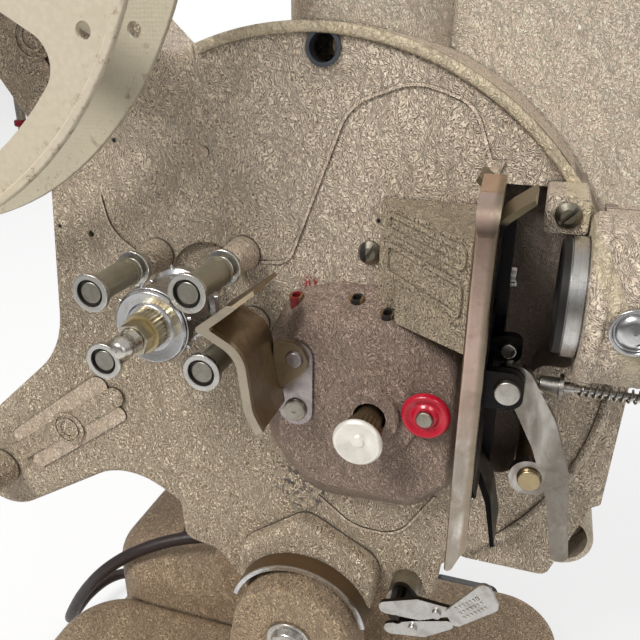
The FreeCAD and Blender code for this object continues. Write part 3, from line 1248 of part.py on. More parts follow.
def spring_points(turns, steps):
    points = []
    for i in range(turns * steps + 1):
        angle = 2 * math.pi * i / steps
        x = SPRING_X0 + SPRING_WIRE / 2 + SPRING_PITCH * i / steps
        points.append(V(x, ROD_Y + SPRING_R * math.sin(angle), ROD_Z + SPRING_R * math.cos(angle)))
    return points


def gate_spring():
    """The coil spring round the rod, one unbroken wire."""
    steps = 4
    points = spring_points(SPRING_TURNS, steps)
    rise = SPRING_PITCH / (2 * math.pi)
    length = math.hypot(rise, SPRING_R)
    edges = []
    tangents = []
    for i in range(len(points)):
        angle = 2 * math.pi * i / steps
        tangents.append(V(rise / length, SPRING_R / length * math.cos(angle),
                -SPRING_R / length * math.sin(angle)))
    for i in range(len(points) - 1):
        edges += biarc(points[i], tangents[i], points[i + 1], tangents[i + 1])
    path = Part.Wire(edges)
    ring = Part.Wire(Part.Circle(points[0], tangents[0], SPRING_WIRE / 2).toShape())
    gap = SPRING_PITCH * SPRING_R / length - SPRING_WIRE
    print("gate spring turns", SPRING_TURNS, "least gap to itself mm", round(gap, 3))
    return path.makePipeShell([ring], True, False)


def lens_tube():
    """The fixed tube that carries the lens, with its beaded rim and the slot for the rack."""
    x0 = LENS_TUBE_X0
    x1 = x0 + LENS_TUBE_LEN
    body = turned_x(FILM_MID_Y, LENS_Z, [(LENS_BARREL_R + RUN_FIT, x0, 0),
            (LENS_TUBE_R - 0.3, x0, 1.0), (LENS_TUBE_R + 0.8, x0 + 0.9, 1.0),
                                         (LENS_TUBE_R + 0.8, x0 + 2.7, 0.7),
                                         (LENS_TUBE_R, x0 + 3.4, 0.3), (LENS_TUBE_R, x1, 1.5),
                                         (LENS_BARREL_R + RUN_FIT, x1, 0)])
    saddle = Part.makeBox(11.4, PANEL_STEP - FILM_MID_Y, 26.0, V(x0 + 3.6, FILM_MID_Y, LENS_Z - 13.0))
    saddle = holed(saddle, [
        rod_y(DRUM_X, DRUM_Z, DRUM_R - RIM_W - 0.1, 0, 20),
        tube_y(DRUM_X, DRUM_Z, DRUM_R + 0.1, DRUM_R - RIM_W - 0.2, -RIM_H - 0.1, 20),
    ])
    body = body.fuse(saddle)
    body = body.cut(rod_x(FILM_MID_Y, LENS_Z, LENS_BARREL_R + RUN_FIT, x0 - 5, x1 + 5))
    slot = Part.makeBox(RACK_TEETH * RACK_PITCH + 10, RACK_Y1 - RACK_Y0 + 0.8, 14.0,
            V(x0 + 3.8, RACK_Y0 - 0.4, LENS_Z - 24))
    knob_hole = rod_y(FOCUS_STUD[0], FOCUS_STUD[1], 3.0, FILM_MID_Y - 22, FILM_MID_Y - 12)
    ear = prism_x([(ROD_Y - 2.4, ROD_Z, 1.2), (ROD_Y, ROD_Z - 2.6, 1.2), (ROD_Y + 2.4, ROD_Z, 1.2),
            (ROD_Y + 2.4, ROD_Z + 8.0, 0), (ROD_Y - 2.4, ROD_Z + 8.0, 0)],
                  SPRING_X0 + SPRING_PITCH * SPRING_TURNS + SPRING_WIRE + 0.1,
                  SPRING_X0 + SPRING_PITCH * SPRING_TURNS + SPRING_WIRE + 2.7)
    body = body.fuse(ear).cut(rod_x(ROD_Y, ROD_Z, ROD_R + 0.1, 90, 140))
    return body.cut(slot).cut(knob_hole).fuse(focus_bearing()).removeSplitter()


FOCUS_STUD = (99.05, 15.55)


def lens_clamp():
    """The dished chrome clamp screw in the side of the lens tube."""
    y = FILM_MID_Y - LENS_TUBE_R - LOOSE
    return turned_y(*FOCUS_STUD, [(0, y - 1.3, 0), (2.4, y - 1.0, 2.0), (3.5, y + 0.1, 0.3),
            (3.75, y - 0.9, 0.1), (4.25, y - 0.9, 0.2), (4.25, y, 0), (2.9, y, 0),
                                  (2.9, y + 3.8, 0), (0, y + 3.8, 0)])


def lens_barrel():
    """The lens barrel with its black edge, bright band, front ring and the rack along its underside."""
    x0 = LENS_BARREL_X0
    x1 = x0 + LENS_BARREL_LEN
    body = turned_x(FILM_MID_Y, LENS_Z, [(9.4, x0, 0), (10.9, x0, 0), (11.2, x0 + 0.3, 0),
            (11.2, x0 + 1.8, 0), (LENS_BARREL_R, x0 + 1.9, 0), (LENS_BARREL_R, x0 + 4.5, 0),
                                         (LENS_BARREL_R - 0.35, x0 + 4.6, 0),
                                         (LENS_BARREL_R - 0.35, x0 + 5.1, 0),
                                         (LENS_BARREL_R, x0 + 5.2, 0), (LENS_BARREL_R, x1 - 16, 0),
                                         (13.8, x1 - 14.5, 0), (14.3, x1, 0.8), (12.6, x1, 0),
                                         (10.8, x1 - 5, 0), (10.8, x1 - 10, 0), (10.2, x1 - 10, 0),
                                         (10.2, x0 + 8, 0),
                                         (9.4, x0 + 8, 0)])
    return body.fuse(focus_rack()).removeSplitter()


def focus_rack():
    """The toothed rack under the lens barrel."""
    top = LENS_Z - LENS_BARREL_R + 0.9
    x0 = LENS_TUBE_X0 + 5.2
    root = LENS_Z - LENS_TUBE_R + 0.3
    tip = root - RACK_PITCH * 0.62
    length = RACK_TEETH * RACK_PITCH
    points = [(x0 + length, root), (x0 + length, top), (x0, top), (x0, root)]
    for i in range(RACK_TEETH):
        start = x0 + i * RACK_PITCH
        points += [(start + RACK_PITCH * 0.12, root), (start + RACK_PITCH * 0.34, tip),
                (start + RACK_PITCH * 0.54, tip), (start + RACK_PITCH * 0.76, root)]
    body = prism_y(rounded(points, 0), RACK_Y0, RACK_Y1)
    return body.cut(rod_x(FILM_MID_Y, LENS_Z, LENS_BARREL_R - 0.2, x0 - 3, x0 + length + 3))


def lens_glass():
    """Front and rear lens elements."""
    x0 = LENS_BARREL_X0
    x1 = x0 + LENS_BARREL_LEN
    rear = turned_x(FILM_MID_Y, LENS_Z, [(0, x0 + 1.0, 0), (9.3, x0 + 2.4, 0), (9.3, x0 + 5.0, 0),
            (0, x0 + 6.2, 0)])
    front = turned_x(FILM_MID_Y, LENS_Z, [(0, x1 - 9.0, 0), (10.7, x1 - 8.0, 0),
            (10.7, x1 - 6.0, 0), (6.0, x1 - 4.4, 14.0), (0, x1 - 3.8, 0)])
    return [rear, front]


def focus_pinion():
    """The focusing pinion on its shaft."""
    module = RACK_PITCH / math.pi
    pitch_r = PINION_TEETH * module / 2
    z = LENS_Z - LENS_TUBE_R + 0.3 - RACK_PITCH * 0.31 - pitch_r - 0.06
    x0 = LENS_TUBE_X0 + 5.2
    tooth = x0 + RACK_PITCH * 0.44
    shift = ((PINION_X - tooth) / RACK_PITCH) % 1.0
    phase = 90.0 + 180.0 / PINION_TEETH + shift * 360.0 / PINION_TEETH
    wheel = toothed_wheel(PINION_X, z, PINION_TEETH, module * 0.96, RACK_Y0,
            RACK_Y1 - RACK_Y0 - 0.5, 1.0, phase)
    return wheel.fuse(rod_y(PINION_X, z, 1.4, FOCUS_KNOB_Y + 2, RACK_Y0)).fuse(rod_y(PINION_X, z,
            1.2, RACK_Y0 - 0.5, RACK_Y1 + 1.6)).removeSplitter()


FOCUS_KNOB_Y = -52.0


def pinion_z():
    module = RACK_PITCH / math.pi
    return LENS_Z - LENS_TUBE_R + 0.3 - RACK_PITCH * 0.31 - PINION_TEETH * module / 2 - 0.06


def focus_knob():
    """The knurled focusing knob."""
    y = FOCUS_KNOB_Y
    body = knurled(PINION_X, pinion_z(), 9.5, 0.5, 32, y + 1.0, y + 7.5)
    face = turned_y(PINION_X, pinion_z(), [(0, y - 0.2, 0), (6.0, y - 0.2, 0.4), (8.6, y + 1.0, 0),
            (0, y + 1.0, 0)])
    return body.fuse(face).cut(rod_y(PINION_X, pinion_z(), 1.4, y + 2, y + 20)).removeSplitter()


def focus_bearing():
    """The cast bracket that carries the focusing shaft under the lens tube."""
    z = pinion_z()
    y = RACK_Y0 - 2.6
    front = prism_y([(PINION_X - 4.5, z - 1.5, 1.0), (PINION_X, z - 4.4, 2.5),
            (PINION_X + 4.5, z - 1.5, 1.0), (PINION_X + 6.0, LENS_Z - LENS_TUBE_R + 2.0, 0),
            (PINION_X - 6.0, LENS_Z - LENS_TUBE_R + 2.0, 0)],
                    y, y + 2.2)
    return front.cut(rod_x(FILM_MID_Y, LENS_Z, LENS_TUBE_R - 1, PINION_X - 12,
            PINION_X + 12)).cut(rod_y(PINION_X, z, 1.4 + RUN_FIT, y - 1, y + 4))


def screws_and_bushes():
    """The head's slotted screws, the bright bush of its top hole and three oil bushes."""
    top = tube_y(TOP_HOLE_X, TOP_HOLE_Z, TOP_HOLE_R + TOP_BUSH_T, TOP_HOLE_R, -0.7, CASTING_WALL)
    return slotted_screws() + [top] + oil_bushes()


def oil_bushes(bore=1.1):
    """The three brass-edged oil bushes of the mechanism cover, or with no bore the holes they sit in."""
    bushes = []
    for place in OIL_HOLES:
        foot = V(*place) - OIL_TILT * 2.6
        bush = Part.makeCylinder(OIL_R, 3.4, foot, OIL_TILT)
        if bore:
            bush = bush.cut(Part.makeCylinder(bore, 4.0, foot + OIL_TILT * 0.6, OIL_TILT))
        bushes.append(bush)
    return bushes


def slotted_screws():
    """The slotted round-head screws on the front and the back of the head."""
    screws = cover_screws()
    for x, z, radius, y, turn, shank in FRONT_SCREWS:
        screws.append(screw_y(x, z, radius, y, turn, shank))
    return screws


FRONT_SCREWS = [(43.4, 12.8, 2.9, 0.0, -58, 2.2), (86.6, 29.2, 2.6, -15.0, -45, 2.4),
        (79.7, -68.8, 1.3, PANEL_STEP, 15, 2.2)]


def screw_lug():
    """The square lug above the gate's recess, with a tapped hole for its slotted screw."""
    lug = prism_y([(82.2, 32.9, 1.0), (90.6, 32.9, 1.0), (90.6, 25.4, 1.0), (82.2, 25.4, 1.0)], -15.0, 10.6)
    return lug.cut(rod_y(86.6, 29.2, 1.3, -16, -10))


def tilt_lug():
    """The thick round lug of the head at the tilt pivot."""
    corners = strap([(PIVOT_X, PIVOT_Z, GUARD_R - 0.6), (PIVOT_X + 14, PIVOT_Z + 16, 8.0),
            (PIVOT_X, PIVOT_Z + 26, 6.0), (PIVOT_X - 13, PIVOT_Z + 14, 8.0)])
    lug = prism_y(corners, LUG_Y, 0.4)
    return lug.makeFillet(2.0, front_edges(lug, LUG_Y))


def pivot_guard():
    """The bright band that hoods the tilt pivot."""
    inner = GUARD_R
    outer = GUARD_R + GUARD_T
    ring = tube_y(PIVOT_X, PIVOT_Z, outer, inner, GUARD_Y0, LUG_Y + 3.0)
    wedge = [(PIVOT_X, PIVOT_Z, 0)]
    for angle in (13, 60, 120, 162):
        wedge.append((PIVOT_X + 60 * math.cos(math.radians(angle)),
                PIVOT_Z + 60 * math.sin(math.radians(angle)), 0))
    return ring.common(prism_y(wedge, -30, 10)).cut(tilt_lug())


def pivot_bolt():
    """The tilt bolt with its slotted head, washer and inner nut."""
    y0 = FRONT_ARM_Y0
    bolt = turned_y(PIVOT_X, PIVOT_Z, [(0, y0 - 3.2, 0), (4.6, y0 - 3.2, 0.8), (5.4, y0 - 1.2, 0),
            (6.8, y0 - 1.2, 0.3), (6.8, y0, 0), (PIVOT_BOLT_R, y0, 0),
                                       (PIVOT_BOLT_R, 20.0, 0.5), (0, 20.0, 0)])
    slot = Part.makeBox(12, 1.4, 1.4, V(PIVOT_X - 6, y0 - 3.3, PIVOT_Z - 0.7))
    return bolt.cut(slot)


def still_lever():
    """The two lever plates and the bent push tab that hold the film still."""
    upper = prism_y(strap([(54.5, -82.2, 2.0), (63.5, -82.6, 1.2), (71.0, -78.6, 1.4),
            (63.0, -78.4, 1.6)]), -15.0, -13.8)
    lower = prism_y(strap([(56.0, -89.2, 1.8), (64.8, -88.0, 1.4), (71.2, -83.2, 1.4),
            (62.5, -86.2, 1.6)]), -15.0, -13.8)
    tab = prism_y(strap([(73.4, -80.6, 1.6), (81.4, -72.8, 2.0), (79.4, -68.4, 1.8),
            (71.8, -78.2, 1.4)]), -15.6, -14.6)
    spacers = []
    for x, z, reach in ((57.5, -82.0, -8.2), (58.8, -88.4, -8.2), (68.0, -80.0, -13.0),
            (62.0, -87.2, -13.0)):
        spacers.append(rod_y(x, z, 1.2, -15.9 if reach < -9 else -13.9, reach))
    bridge = prism_y(strap([(57.0, -89.4, 3.0), (60.0, -85.4, 3.6), (57.5, -81.0, 2.6)]), -9.6, -8.2)
    return fused([upper, lower, tab, bridge] + spacers).cut(rod_y(*STILL_PIVOT, 1.5 + RUN_FIT, -20, 0))


STILL_PIVOT = (57.4, -85.5)


def pivot_pins():
    """The fixed pins of the lever, the shoe's link, the red roller, the idler and the still lever."""
    lever = turned_y(LEVER_PIVOT_X, LEVER_PIVOT_Z, [(0, LEVER_Y - 1.2, 0),
            (2.3, LEVER_Y - 1.2, 0.4), (2.6, LEVER_Y - 0.2, 0), (2.0, LEVER_Y - 0.2, 0),
            (2.0, LEVER_Y + LEVER_T + 0.2, 0),
                                                  (3.2, LEVER_Y + LEVER_T + 0.2, 0), (3.2, 0, 0),
                                                  (0, 0, 0)])
    x, z = STILL_PIVOT
    still = turned_y(x, z, [(0, -11.2, 0), (1.9, -11.2, 0.3), (1.9, -9.9, 0), (1.5, -9.9, 0),
            (1.5, -7.9, 0), (4.2, -7.9, 0), (4.2, 0, 0), (0, 0, 0)])
    ix, iz = idler_place()
    end = GEAR_Y0 + 2 * GEAR_W + GEAR_STEP + 0.3
    idler = turned_y(ix, iz, [(0, 2.0, 0), (IDLER_STUD_R, 2.0, 0), (IDLER_STUD_R, end, 0),
            (3.2, end, 0), (3.2, end + 0.9, 0), (0, end + 0.9, 0)])
    return [lever, shoe_pin(), red_roller_pin(), idler, still]


def reel_windows(y0, y1):
    ring = tube_y(SUPPLY_X, SUPPLY_Z, REEL_WINDOW_OUT, REEL_WINDOW_IN, y0, y1)
    for i in range(REEL_WINDOWS):
        spoke = Part.makeBox(REEL_R, y1 - y0 + 4, REEL_SPOKE_W,
                V(SUPPLY_X, y0 - 2, SUPPLY_Z - REEL_SPOKE_W / 2))
        spoke.rotate(V(SUPPLY_X, 0, SUPPLY_Z), V(0, 1, 0), -(REEL_FIRST_SPOKE + i * 360 / REEL_WINDOWS))
        ring = ring.cut(spoke)
    upright = [e for e in ring.Edges if e.BoundBox.XLength < 1e-4 and e.BoundBox.ZLength < 1e-4]
    return ring.makeFillet(6.5, upright)


def reel_flange(y0, front):
    """A sheet flange with a rolled rim, windows and small holes at its spokes."""
    y1 = y0 + REEL_SHEET
    out = y0 - 0.6 if front else y1 + 0.6
    profile = [(SPINDLE_R + 0.3, y0, 0), (REEL_R - 2.2, y0, 0)]
    if front:
        profile += [(REEL_R - 1.8, out, 0.4), (REEL_R, out, 0.5), (REEL_R, y1, 0.3),
                (SPINDLE_R + 0.3, y1, 0)]
    else:
        profile += [(REEL_R, y0, 0.3), (REEL_R, out, 0.5), (REEL_R - 1.8, out, 0.4),
                (REEL_R - 2.2, y1, 0), (SPINDLE_R + 0.3, y1, 0)]
        profile.pop(1)
    plate = turned_y(SUPPLY_X, SUPPLY_Z, profile)
    plate = plate.cut(reel_windows(y0 - 3, y1 + 3))
    for i in range(REEL_WINDOWS):
        angle = math.radians(REEL_FIRST_SPOKE + i * 360 / REEL_WINDOWS)
        x = SUPPLY_X + (REEL_R - 6.7) * math.cos(angle)
        z = SUPPLY_Z + (REEL_R - 6.7) * math.sin(angle)
        plate = plate.cut(rod_y(x, z, 1.7, y0 - 3, y1 + 3))
    return plate


def reel_flanges():
    """The two sheet flanges of the reel."""
    return [reel_flange(REEL_FRONT_Y, True), reel_flange(REEL_FRONT_Y + REEL_SHEET + REEL_INNER_GAP, False)]


def reel_hub():
    """The reel's core between the flanges."""
    y0 = REEL_FRONT_Y + REEL_SHEET
    y1 = y0 + REEL_INNER_GAP
    core = turned_y(SUPPLY_X, SUPPLY_Z, [(22.6, y0, 0), (REEL_HUB_R, y0, 0), (REEL_HUB_R, y1, 0),
            (22.6, y1, 0), (22.6, y1 - 2, 0), (8.0, y1 - 2, 0),
                                         (8.0, y1, 0), (SPINDLE_R + 0.05, y1, 0),
                                         (SPINDLE_R + 0.05, y0, 0), (8.0, y0, 0), (8.0, y0 + 2, 0),
                                         (22.6, y0 + 2, 0)])
    return core


def spindle(x, z, front, boss_front):
    """A reel spindle with its shoulder, body and flip latch tip."""
    return fused([
        turned_y(x, z, [(0, front - 7.0, 0), (2.8, front - 7.0, 0.8),
        (SPINDLE_R - 0.4, front - 3.4, 0.6), (SPINDLE_R, front - 2.6, 0), (SPINDLE_R, boss_front - 2.4, 0),
                        (7.4, boss_front - 2.4, 0.4), (7.4, boss_front - 0.4, 0.3),
                        (SPINDLE_R, boss_front - 0.4, 0), (SPINDLE_R, CASTING_D - 0.4, 0),
                        (SPINDLE_R - 1, CASTING_D - 0.4, 0),
                        (SPINDLE_R - 1, CASTING_D + BACK_PLATE_T + 1.0, 0),
                        (0, CASTING_D + BACK_PLATE_T + 1.0, 0)]),
    ])


def supply_spindle():
    return spindle(SUPPLY_X, SUPPLY_Z, REEL_FRONT_Y, REEL_FRONT_Y + 2 * REEL_SHEET + REEL_INNER_GAP + 3.2)


def takeup_spindle():
    """The take-up spindle with its belt pulley."""
    return fused([spindle(TAKEUP_X, TAKEUP_Z, REEL_FRONT_Y, -12.0),
            pulley(TAKEUP_X, TAKEUP_Z, BELT_TAKEUP_R, SPINDLE_R - 0.1)])


BELT_DRIVE_R = 7.0
BELT_TAKEUP_R = 9.0
BELT_Y = 5.4
BELT_W = 2.2


def pulley(x, z, radius, bore):
    """A flanged belt pulley."""
    y0 = BELT_Y - 1.2
    y1 = BELT_Y + BELT_W + 1.2
    return turned_y(x, z, [(bore, y0, 0), (radius + 1.6, y0, 0), (radius + 1.6, y0 + 0.9, 0),
            (radius, y0 + 0.9, 0), (radius, y1 - 0.9, 0),
                           (radius + 1.6, y1 - 0.9, 0), (radius + 1.6, y1, 0), (bore, y1, 0)])


def takeup_belt():
    """The belt from the sprocket shaft down the arm to the take-up spindle."""
    apart = math.hypot(TAKEUP_X, TAKEUP_Z)
    line = math.degrees(math.atan2(TAKEUP_Z, TAKEUP_X))

    def loop(extra):
        lean = math.degrees(math.asin((BELT_TAKEUP_R - BELT_DRIVE_R) / apart))
        near = arc_corners(0, 0, BELT_DRIVE_R + extra, line + 90 + lean, line + 270 - lean)
        far = arc_corners(TAKEUP_X, TAKEUP_Z, BELT_TAKEUP_R + extra, line - 90 - lean, line + 90 + lean)
        return near + far

    return prism_y(loop(1.2), BELT_Y, BELT_Y + BELT_W).cut(prism_y(loop(0.08), BELT_Y - 1,
            BELT_Y + BELT_W + 1))


def arm_button():
    """The push button under the supply arm: a bright stem with a red collar near its tip."""
    z = BUTTON_Z
    profile = [(0, z - 2.0, 0), (BUTTON_STEM_R, z - 2.0, 0.4), (BUTTON_STEM_R, z - 0.9, 0),
            (BUTTON_COLLAR_R, z - 0.9, 0.5),
               (BUTTON_COLLAR_R, z + 0.9, 0.5), (BUTTON_STEM_R, z + 0.9, 0),
               (BUTTON_STEM_R, z + 18.5, 0), (0, z + 18.5, 0)]
    return turned_z(BUTTON_X, BUTTON_Y, profile)


BUTTON_X = -57.4
BUTTON_Y = 6.0
BUTTON_Z = 38.3
BUTTON_STEM_R = 1.2
BUTTON_COLLAR_R = 2.0


DUCT_X = 97.2
DUCT_Z = -66.6
DUCT_R = 8.8
DUCT_Y0 = PANEL_STEP + 5.0


def cooling_duct():
    """The rounded mouth of the cooling duct beside the rear housing."""
    inside = DUCT_R - 1.6
    return turned_y(DUCT_X, DUCT_Z, [(inside, DUCT_Y0, 0), (DUCT_R, DUCT_Y0, 0.7),
            (DUCT_R, 30.0, 0), (0, 30.0, 0), (0, 26.0, 0), (inside, 26.0, 0)])


def hump(x0, x1, y0, y1, top, corner, edge):
    """A raised, rounded part of the base's top with vertical sides."""
    block = prism_z(box_corners(x0, y0, x1, y1, corner), BASE_LOW, top)
    rim = [e for e in block.Edges if abs(e.BoundBox.ZMin - top) < 1e-4]
    return block.makeFillet(edge, rim)


def base_casting():
    """The base: a low plinth, two raised parts and both cheeks of the tilt pivot, hollow underneath."""
    w = BASE_WALL
    plinth = hump(BASE_LEFT, BASE_RIGHT, BASE_FRONT, BASE_BACK, PLINTH_TOP, 22.0, 5.0)
    front = hump(BASE_LEFT, HUMP_RIGHT, BASE_FRONT, HUMP_SPLIT + 4, FRONT_HUMP_TOP, 22.0, 9.0)
    rear = hump(REAR_HUMP_LEFT, HUMP_RIGHT - 2, HUMP_SPLIT, BASE_BACK - 6, REAR_HUMP_TOP, 22.0, 9.0)
    arm = [(PIVOT_X - FRONT_ARM_FOOT, FRONT_HUMP_TOP - 2, 0)]
    arm += arc_corners(PIVOT_X, PIVOT_Z, FRONT_ARM_R, 172, 8)
    arm += [(PIVOT_X + FRONT_ARM_FOOT, FRONT_HUMP_TOP - 2, 0)]
    post = prism_y(arm, FRONT_ARM_Y0, FRONT_ARM_Y1)
    rim = [e for e in front_edges(post, FRONT_ARM_Y0) if e.BoundBox.ZMax > FRONT_HUMP_TOP]
    post = post.makeFillet(1.5, rim)
    cheek = rod_y(PIVOT_X, PIVOT_Z, TILT_DISC_R, TILT_DISC_Y0, TILT_DISC_Y0 + TILT_DISC_T)
    gland = rod_x(LEAD_ROUTE[-1][1], LEAD_ROUTE[-1][2], 5.0, LEAD_ROUTE[-1][0], BASE_LEFT + 5)
    body = fused([plinth, front, rear, post, cheek, gland])
    holes = [
        prism_z(box_corners(BASE_LEFT + w, BASE_FRONT + w, BASE_RIGHT - w, BASE_BACK - w, 19.0),
        BASE_LOW - 1, PLINTH_TOP - w - 1.5),
        prism_z(box_corners(BASE_LEFT + w, BASE_FRONT + w, HUMP_RIGHT - w, HUMP_SPLIT, 19.0),
        BASE_LOW - 1, FRONT_HUMP_TOP - 7.0),
        prism_z(box_corners(REAR_HUMP_LEFT + w, HUMP_SPLIT + w, HUMP_RIGHT - 2 - w,
        BASE_BACK - 6 - w, 19.0), BASE_LOW - 1, REAR_HUMP_TOP - 7.0),
        rod_y(PIVOT_X, PIVOT_Z, PIVOT_BOLT_R + RUN_FIT, -40, 40),
        rod_y(DIAL_X, DIAL_Z, 3.0 + RUN_FIT, BASE_FRONT - 5, BASE_FRONT + 8),
    ]
    holes.append(prism_y(box_corners(INLET_X - 12.6, INLET_Z - 7.7, INLET_X + 12.6, INLET_Z + 7.7,
            3.5), BASE_BACK - 20, BASE_BACK + 1))
    for x in SWITCH_XS:
        holes.append(rod_y(x, SWITCH_Z, SWITCH_BALL_R + RUN_FIT, BASE_FRONT - 5, BASE_FRONT + 8))
    for i in range(6):
        x = -34.0 + i * 16.0
        holes.append(prism_z(capsule(x, HUMP_SPLIT + 18, x, BASE_BACK - 26, 1.8), REAR_HUMP_TOP - 9,
                REAR_HUMP_TOP + 3))
    return holed(body, holes).removeSplitter()


SWITCH_XS = (74.0, 90.0)
SWITCH_Z = -BASE_DROP + 13.0
SWITCH_BALL_R = 2.8
DIAL_X = -20.0
DIAL_Z = -BASE_DROP + 25.0
DIAL_OUT = 12.6


def bottom_plate():
    """The sheet that closes the base underneath."""
    z0 = -BASE_DROP + FOOT_H - 1.0
    w = BASE_WALL
    plate = prism_z(box_corners(BASE_LEFT + w, BASE_FRONT + w, BASE_RIGHT - w, BASE_BACK - w, 17.0),
            z0, z0 + BOTTOM_PLATE_T)
    return plate


FEET = [(BASE_LEFT + 18, BASE_FRONT + 18), (BASE_RIGHT - 18, BASE_FRONT + 18),
        (BASE_RIGHT - 18, BASE_BACK - 18), (BASE_LEFT + 18, BASE_BACK - 18)]


def rubber_feet():
    """Four rubber feet under the base."""
    z0 = -BASE_DROP
    return [turned_z(x, y, [(0, z0, 0), (FOOT_R - 1.0, z0, 0.8), (FOOT_R, z0 + FOOT_H - 1.0, 0),
            (0, z0 + FOOT_H - 1.0, 0)]) for x, y in FEET]


def toggle(x):
    """A toggle switch's lever, resting down."""
    y = BASE_FRONT
    stick = Part.makeCone(1.3, 2.2, 11.0, V(x, y + 1.0, SWITCH_Z), V(0, -0.91, -0.42))
    ball = Part.makeSphere(SWITCH_BALL_R, V(x, y + 1.5, SWITCH_Z))
    return stick.fuse(ball).cut(rod_x(y + 1.5, SWITCH_Z, 0.5, x - 5, x + 5)).removeSplitter()


def speed_dial():
    """The speed regulator's knob and shaft."""
    y = BASE_FRONT
    knob = knurled(DIAL_X, DIAL_Z, 11.0, 0.6, 30, y - 12.0, y - 2.0)
    skirt = turned_y(DIAL_X, DIAL_Z, [(0, y - 2.0, 0), (14.0, y - 2.0, 0.4), (14.0, y - 0.5, 0),
            (0, y - 0.5, 0)])
    shaft = rod_y(DIAL_X, DIAL_Z, 3.0, y - 1, y + 9)
    pointer = Part.makeBox(1.4, 0.8, 8.0, V(DIAL_X - 0.7, y - DIAL_OUT, DIAL_Z + 2))
    return fused([knob, skirt, shaft, pointer])


INLET_X = 70.0
INLET_Z = -BASE_DROP + 13.4
INLET_DEPTH = 12.0
INLET_LIP = 3.0


def power_inlet():
    """The two-pin mains inlet let into the back of the base."""
    y = BASE_BACK
    x, z = INLET_X, INLET_Z
    shell = prism_y(box_corners(x - 14, z - 9, x + 14, z + 9, 4.0), y, y + INLET_LIP)
    shell = shell.fuse(prism_y(box_corners(x - 12.5, z - 7.6, x + 12.5, z + 7.6, 3.5),
            y - INLET_DEPTH, y + 0.1))
    shell = shell.cut(prism_y(box_corners(x - 11, z - 6.2, x + 11, z + 6.2, 2.5),
            y - INLET_DEPTH + 2, y + 6))
    pins = [rod_y(x + side * 5.5, z, 2.2, y - INLET_DEPTH + 1, y + 1.0) for side in (-1, 1)]
    return fused([shell] + pins)


def lead_path():
    """The lead's route as straight runs joined by tangent arcs, each as large as its runs allow."""
    points = [V(*p) for p in LEAD_ROUTE]
    edges = []
    radii = []
    at = points[0]
    for i in range(1, len(points) - 1):
        back = points[i - 1] - points[i]
        ahead = points[i + 1] - points[i]
        turn = math.pi - back.getAngle(ahead)
        reach = 0.45 * min(back.Length, ahead.Length)
        radius = reach / math.tan(turn / 2)
        radii.append(round(radius, 1))
        bu = back.normalize()
        au = ahead.normalize()
        start = points[i] + bu * reach
        end = points[i] + au * reach
        middle = (bu + au).normalize() * (radius / math.cos(turn / 2) - radius) + points[i]
        edges.append(Part.LineSegment(at, start).toShape())
        edges.append(Part.Arc(start, middle, end).toShape())
        at = end
    edges.append(Part.LineSegment(at, points[-1]).toShape())
    print("lead bend radii mm", radii)
    return Part.Wire(edges)


def supply_lead():
    """The round lead from the base's side up into the head."""
    path = lead_path()
    start = V(*LEAD_ROUTE[0])
    along = V(*LEAD_ROUTE[1]) - start
    ring = Part.Wire(Part.Circle(start, along, LEAD_R).toShape())
    tube = path.makePipeShell([ring], True, False)
    print("lead length mm", round(path.Length, 1), "volume over section times length",
          round(tube.Volume / (math.pi * LEAD_R ** 2 * path.Length), 4))
    return tube


def middle_x():
    """The middle of the whole from the reel's edge to the lens."""
    return (SUPPLY_X - REEL_R + LENS_BARREL_X0 + LENS_BARREL_LEN) / 2


def middle_y():
    """The middle of the whole from the speed knob to the mains inlet."""
    return (BASE_FRONT - DIAL_OUT + BASE_BACK + INLET_LIP) / 2


def export(name, shape):
    """Writes one node, moved from the head's layout to the middle of the whole, on what it stands on."""
    solids = shape if isinstance(shape, (list, tuple)) else [shape]
    whole = solids[0] if len(solids) == 1 else Part.makeCompound(list(solids))
    whole = whole.copy()
    whole.translate(V(-middle_x(), -middle_y(), BASE_DROP))
    count = len(whole.Solids)
    if not whole.isValid() or count == 0:
        print("CHECK", name, "valid", whole.isValid(), "solids", count)
    if isinstance(shape, (list, tuple)) and count != len(solids):
        print("CHECK", name, "pieces", len(solids), "solids", count)
    if not isinstance(shape, (list, tuple)) and count != 1:
        print("CHECK", name, "solids", count)
    whole.exportStep("parts/" + name + ".step")


def build():
    os.makedirs("parts", exist_ok=True)
    nodes = [
        main_casting, screws_and_bushes, back_plate, rear_housing, lamp_house, lamp_cap, lamp_bulb,
        lamp_socket,
        condenser_lenses, light_housing, mirror, mechanism_cover, pivot_pins, red_roller,
        inching_knob, main_shaft,
        film_claw, idler_gear, shutter, motor_case, motor_rotor, sprocket, sprocket_nut, sprocket_shaft,
        roller_studs, film_shoe, shoe_link, gate_bar, gate_plate, gate_carriage, gate_lever,
        gate_rod, gate_spring,
        lens_tube, lens_clamp, lens_barrel, lens_glass, focus_pinion, focus_knob, pivot_guard, pivot_bolt,
        still_lever, supply_spindle, takeup_spindle, takeup_belt, arm_button, reel_flanges, reel_hub,
        base_casting, bottom_plate, rubber_feet, speed_dial, power_inlet, supply_lead,
    ]
    for make in nodes:
        export(make.__name__, make())
    for name, place in ROLLERS.items():
        export("film_roller_" + name, film_roller(*place))
    for name, x in zip(("lamp_switch", "motor_switch"), SWITCH_XS):
        export(name, toggle(x))


build()
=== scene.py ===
import bpy
import bmesh
import math
from mathutils import Matrix, Vector


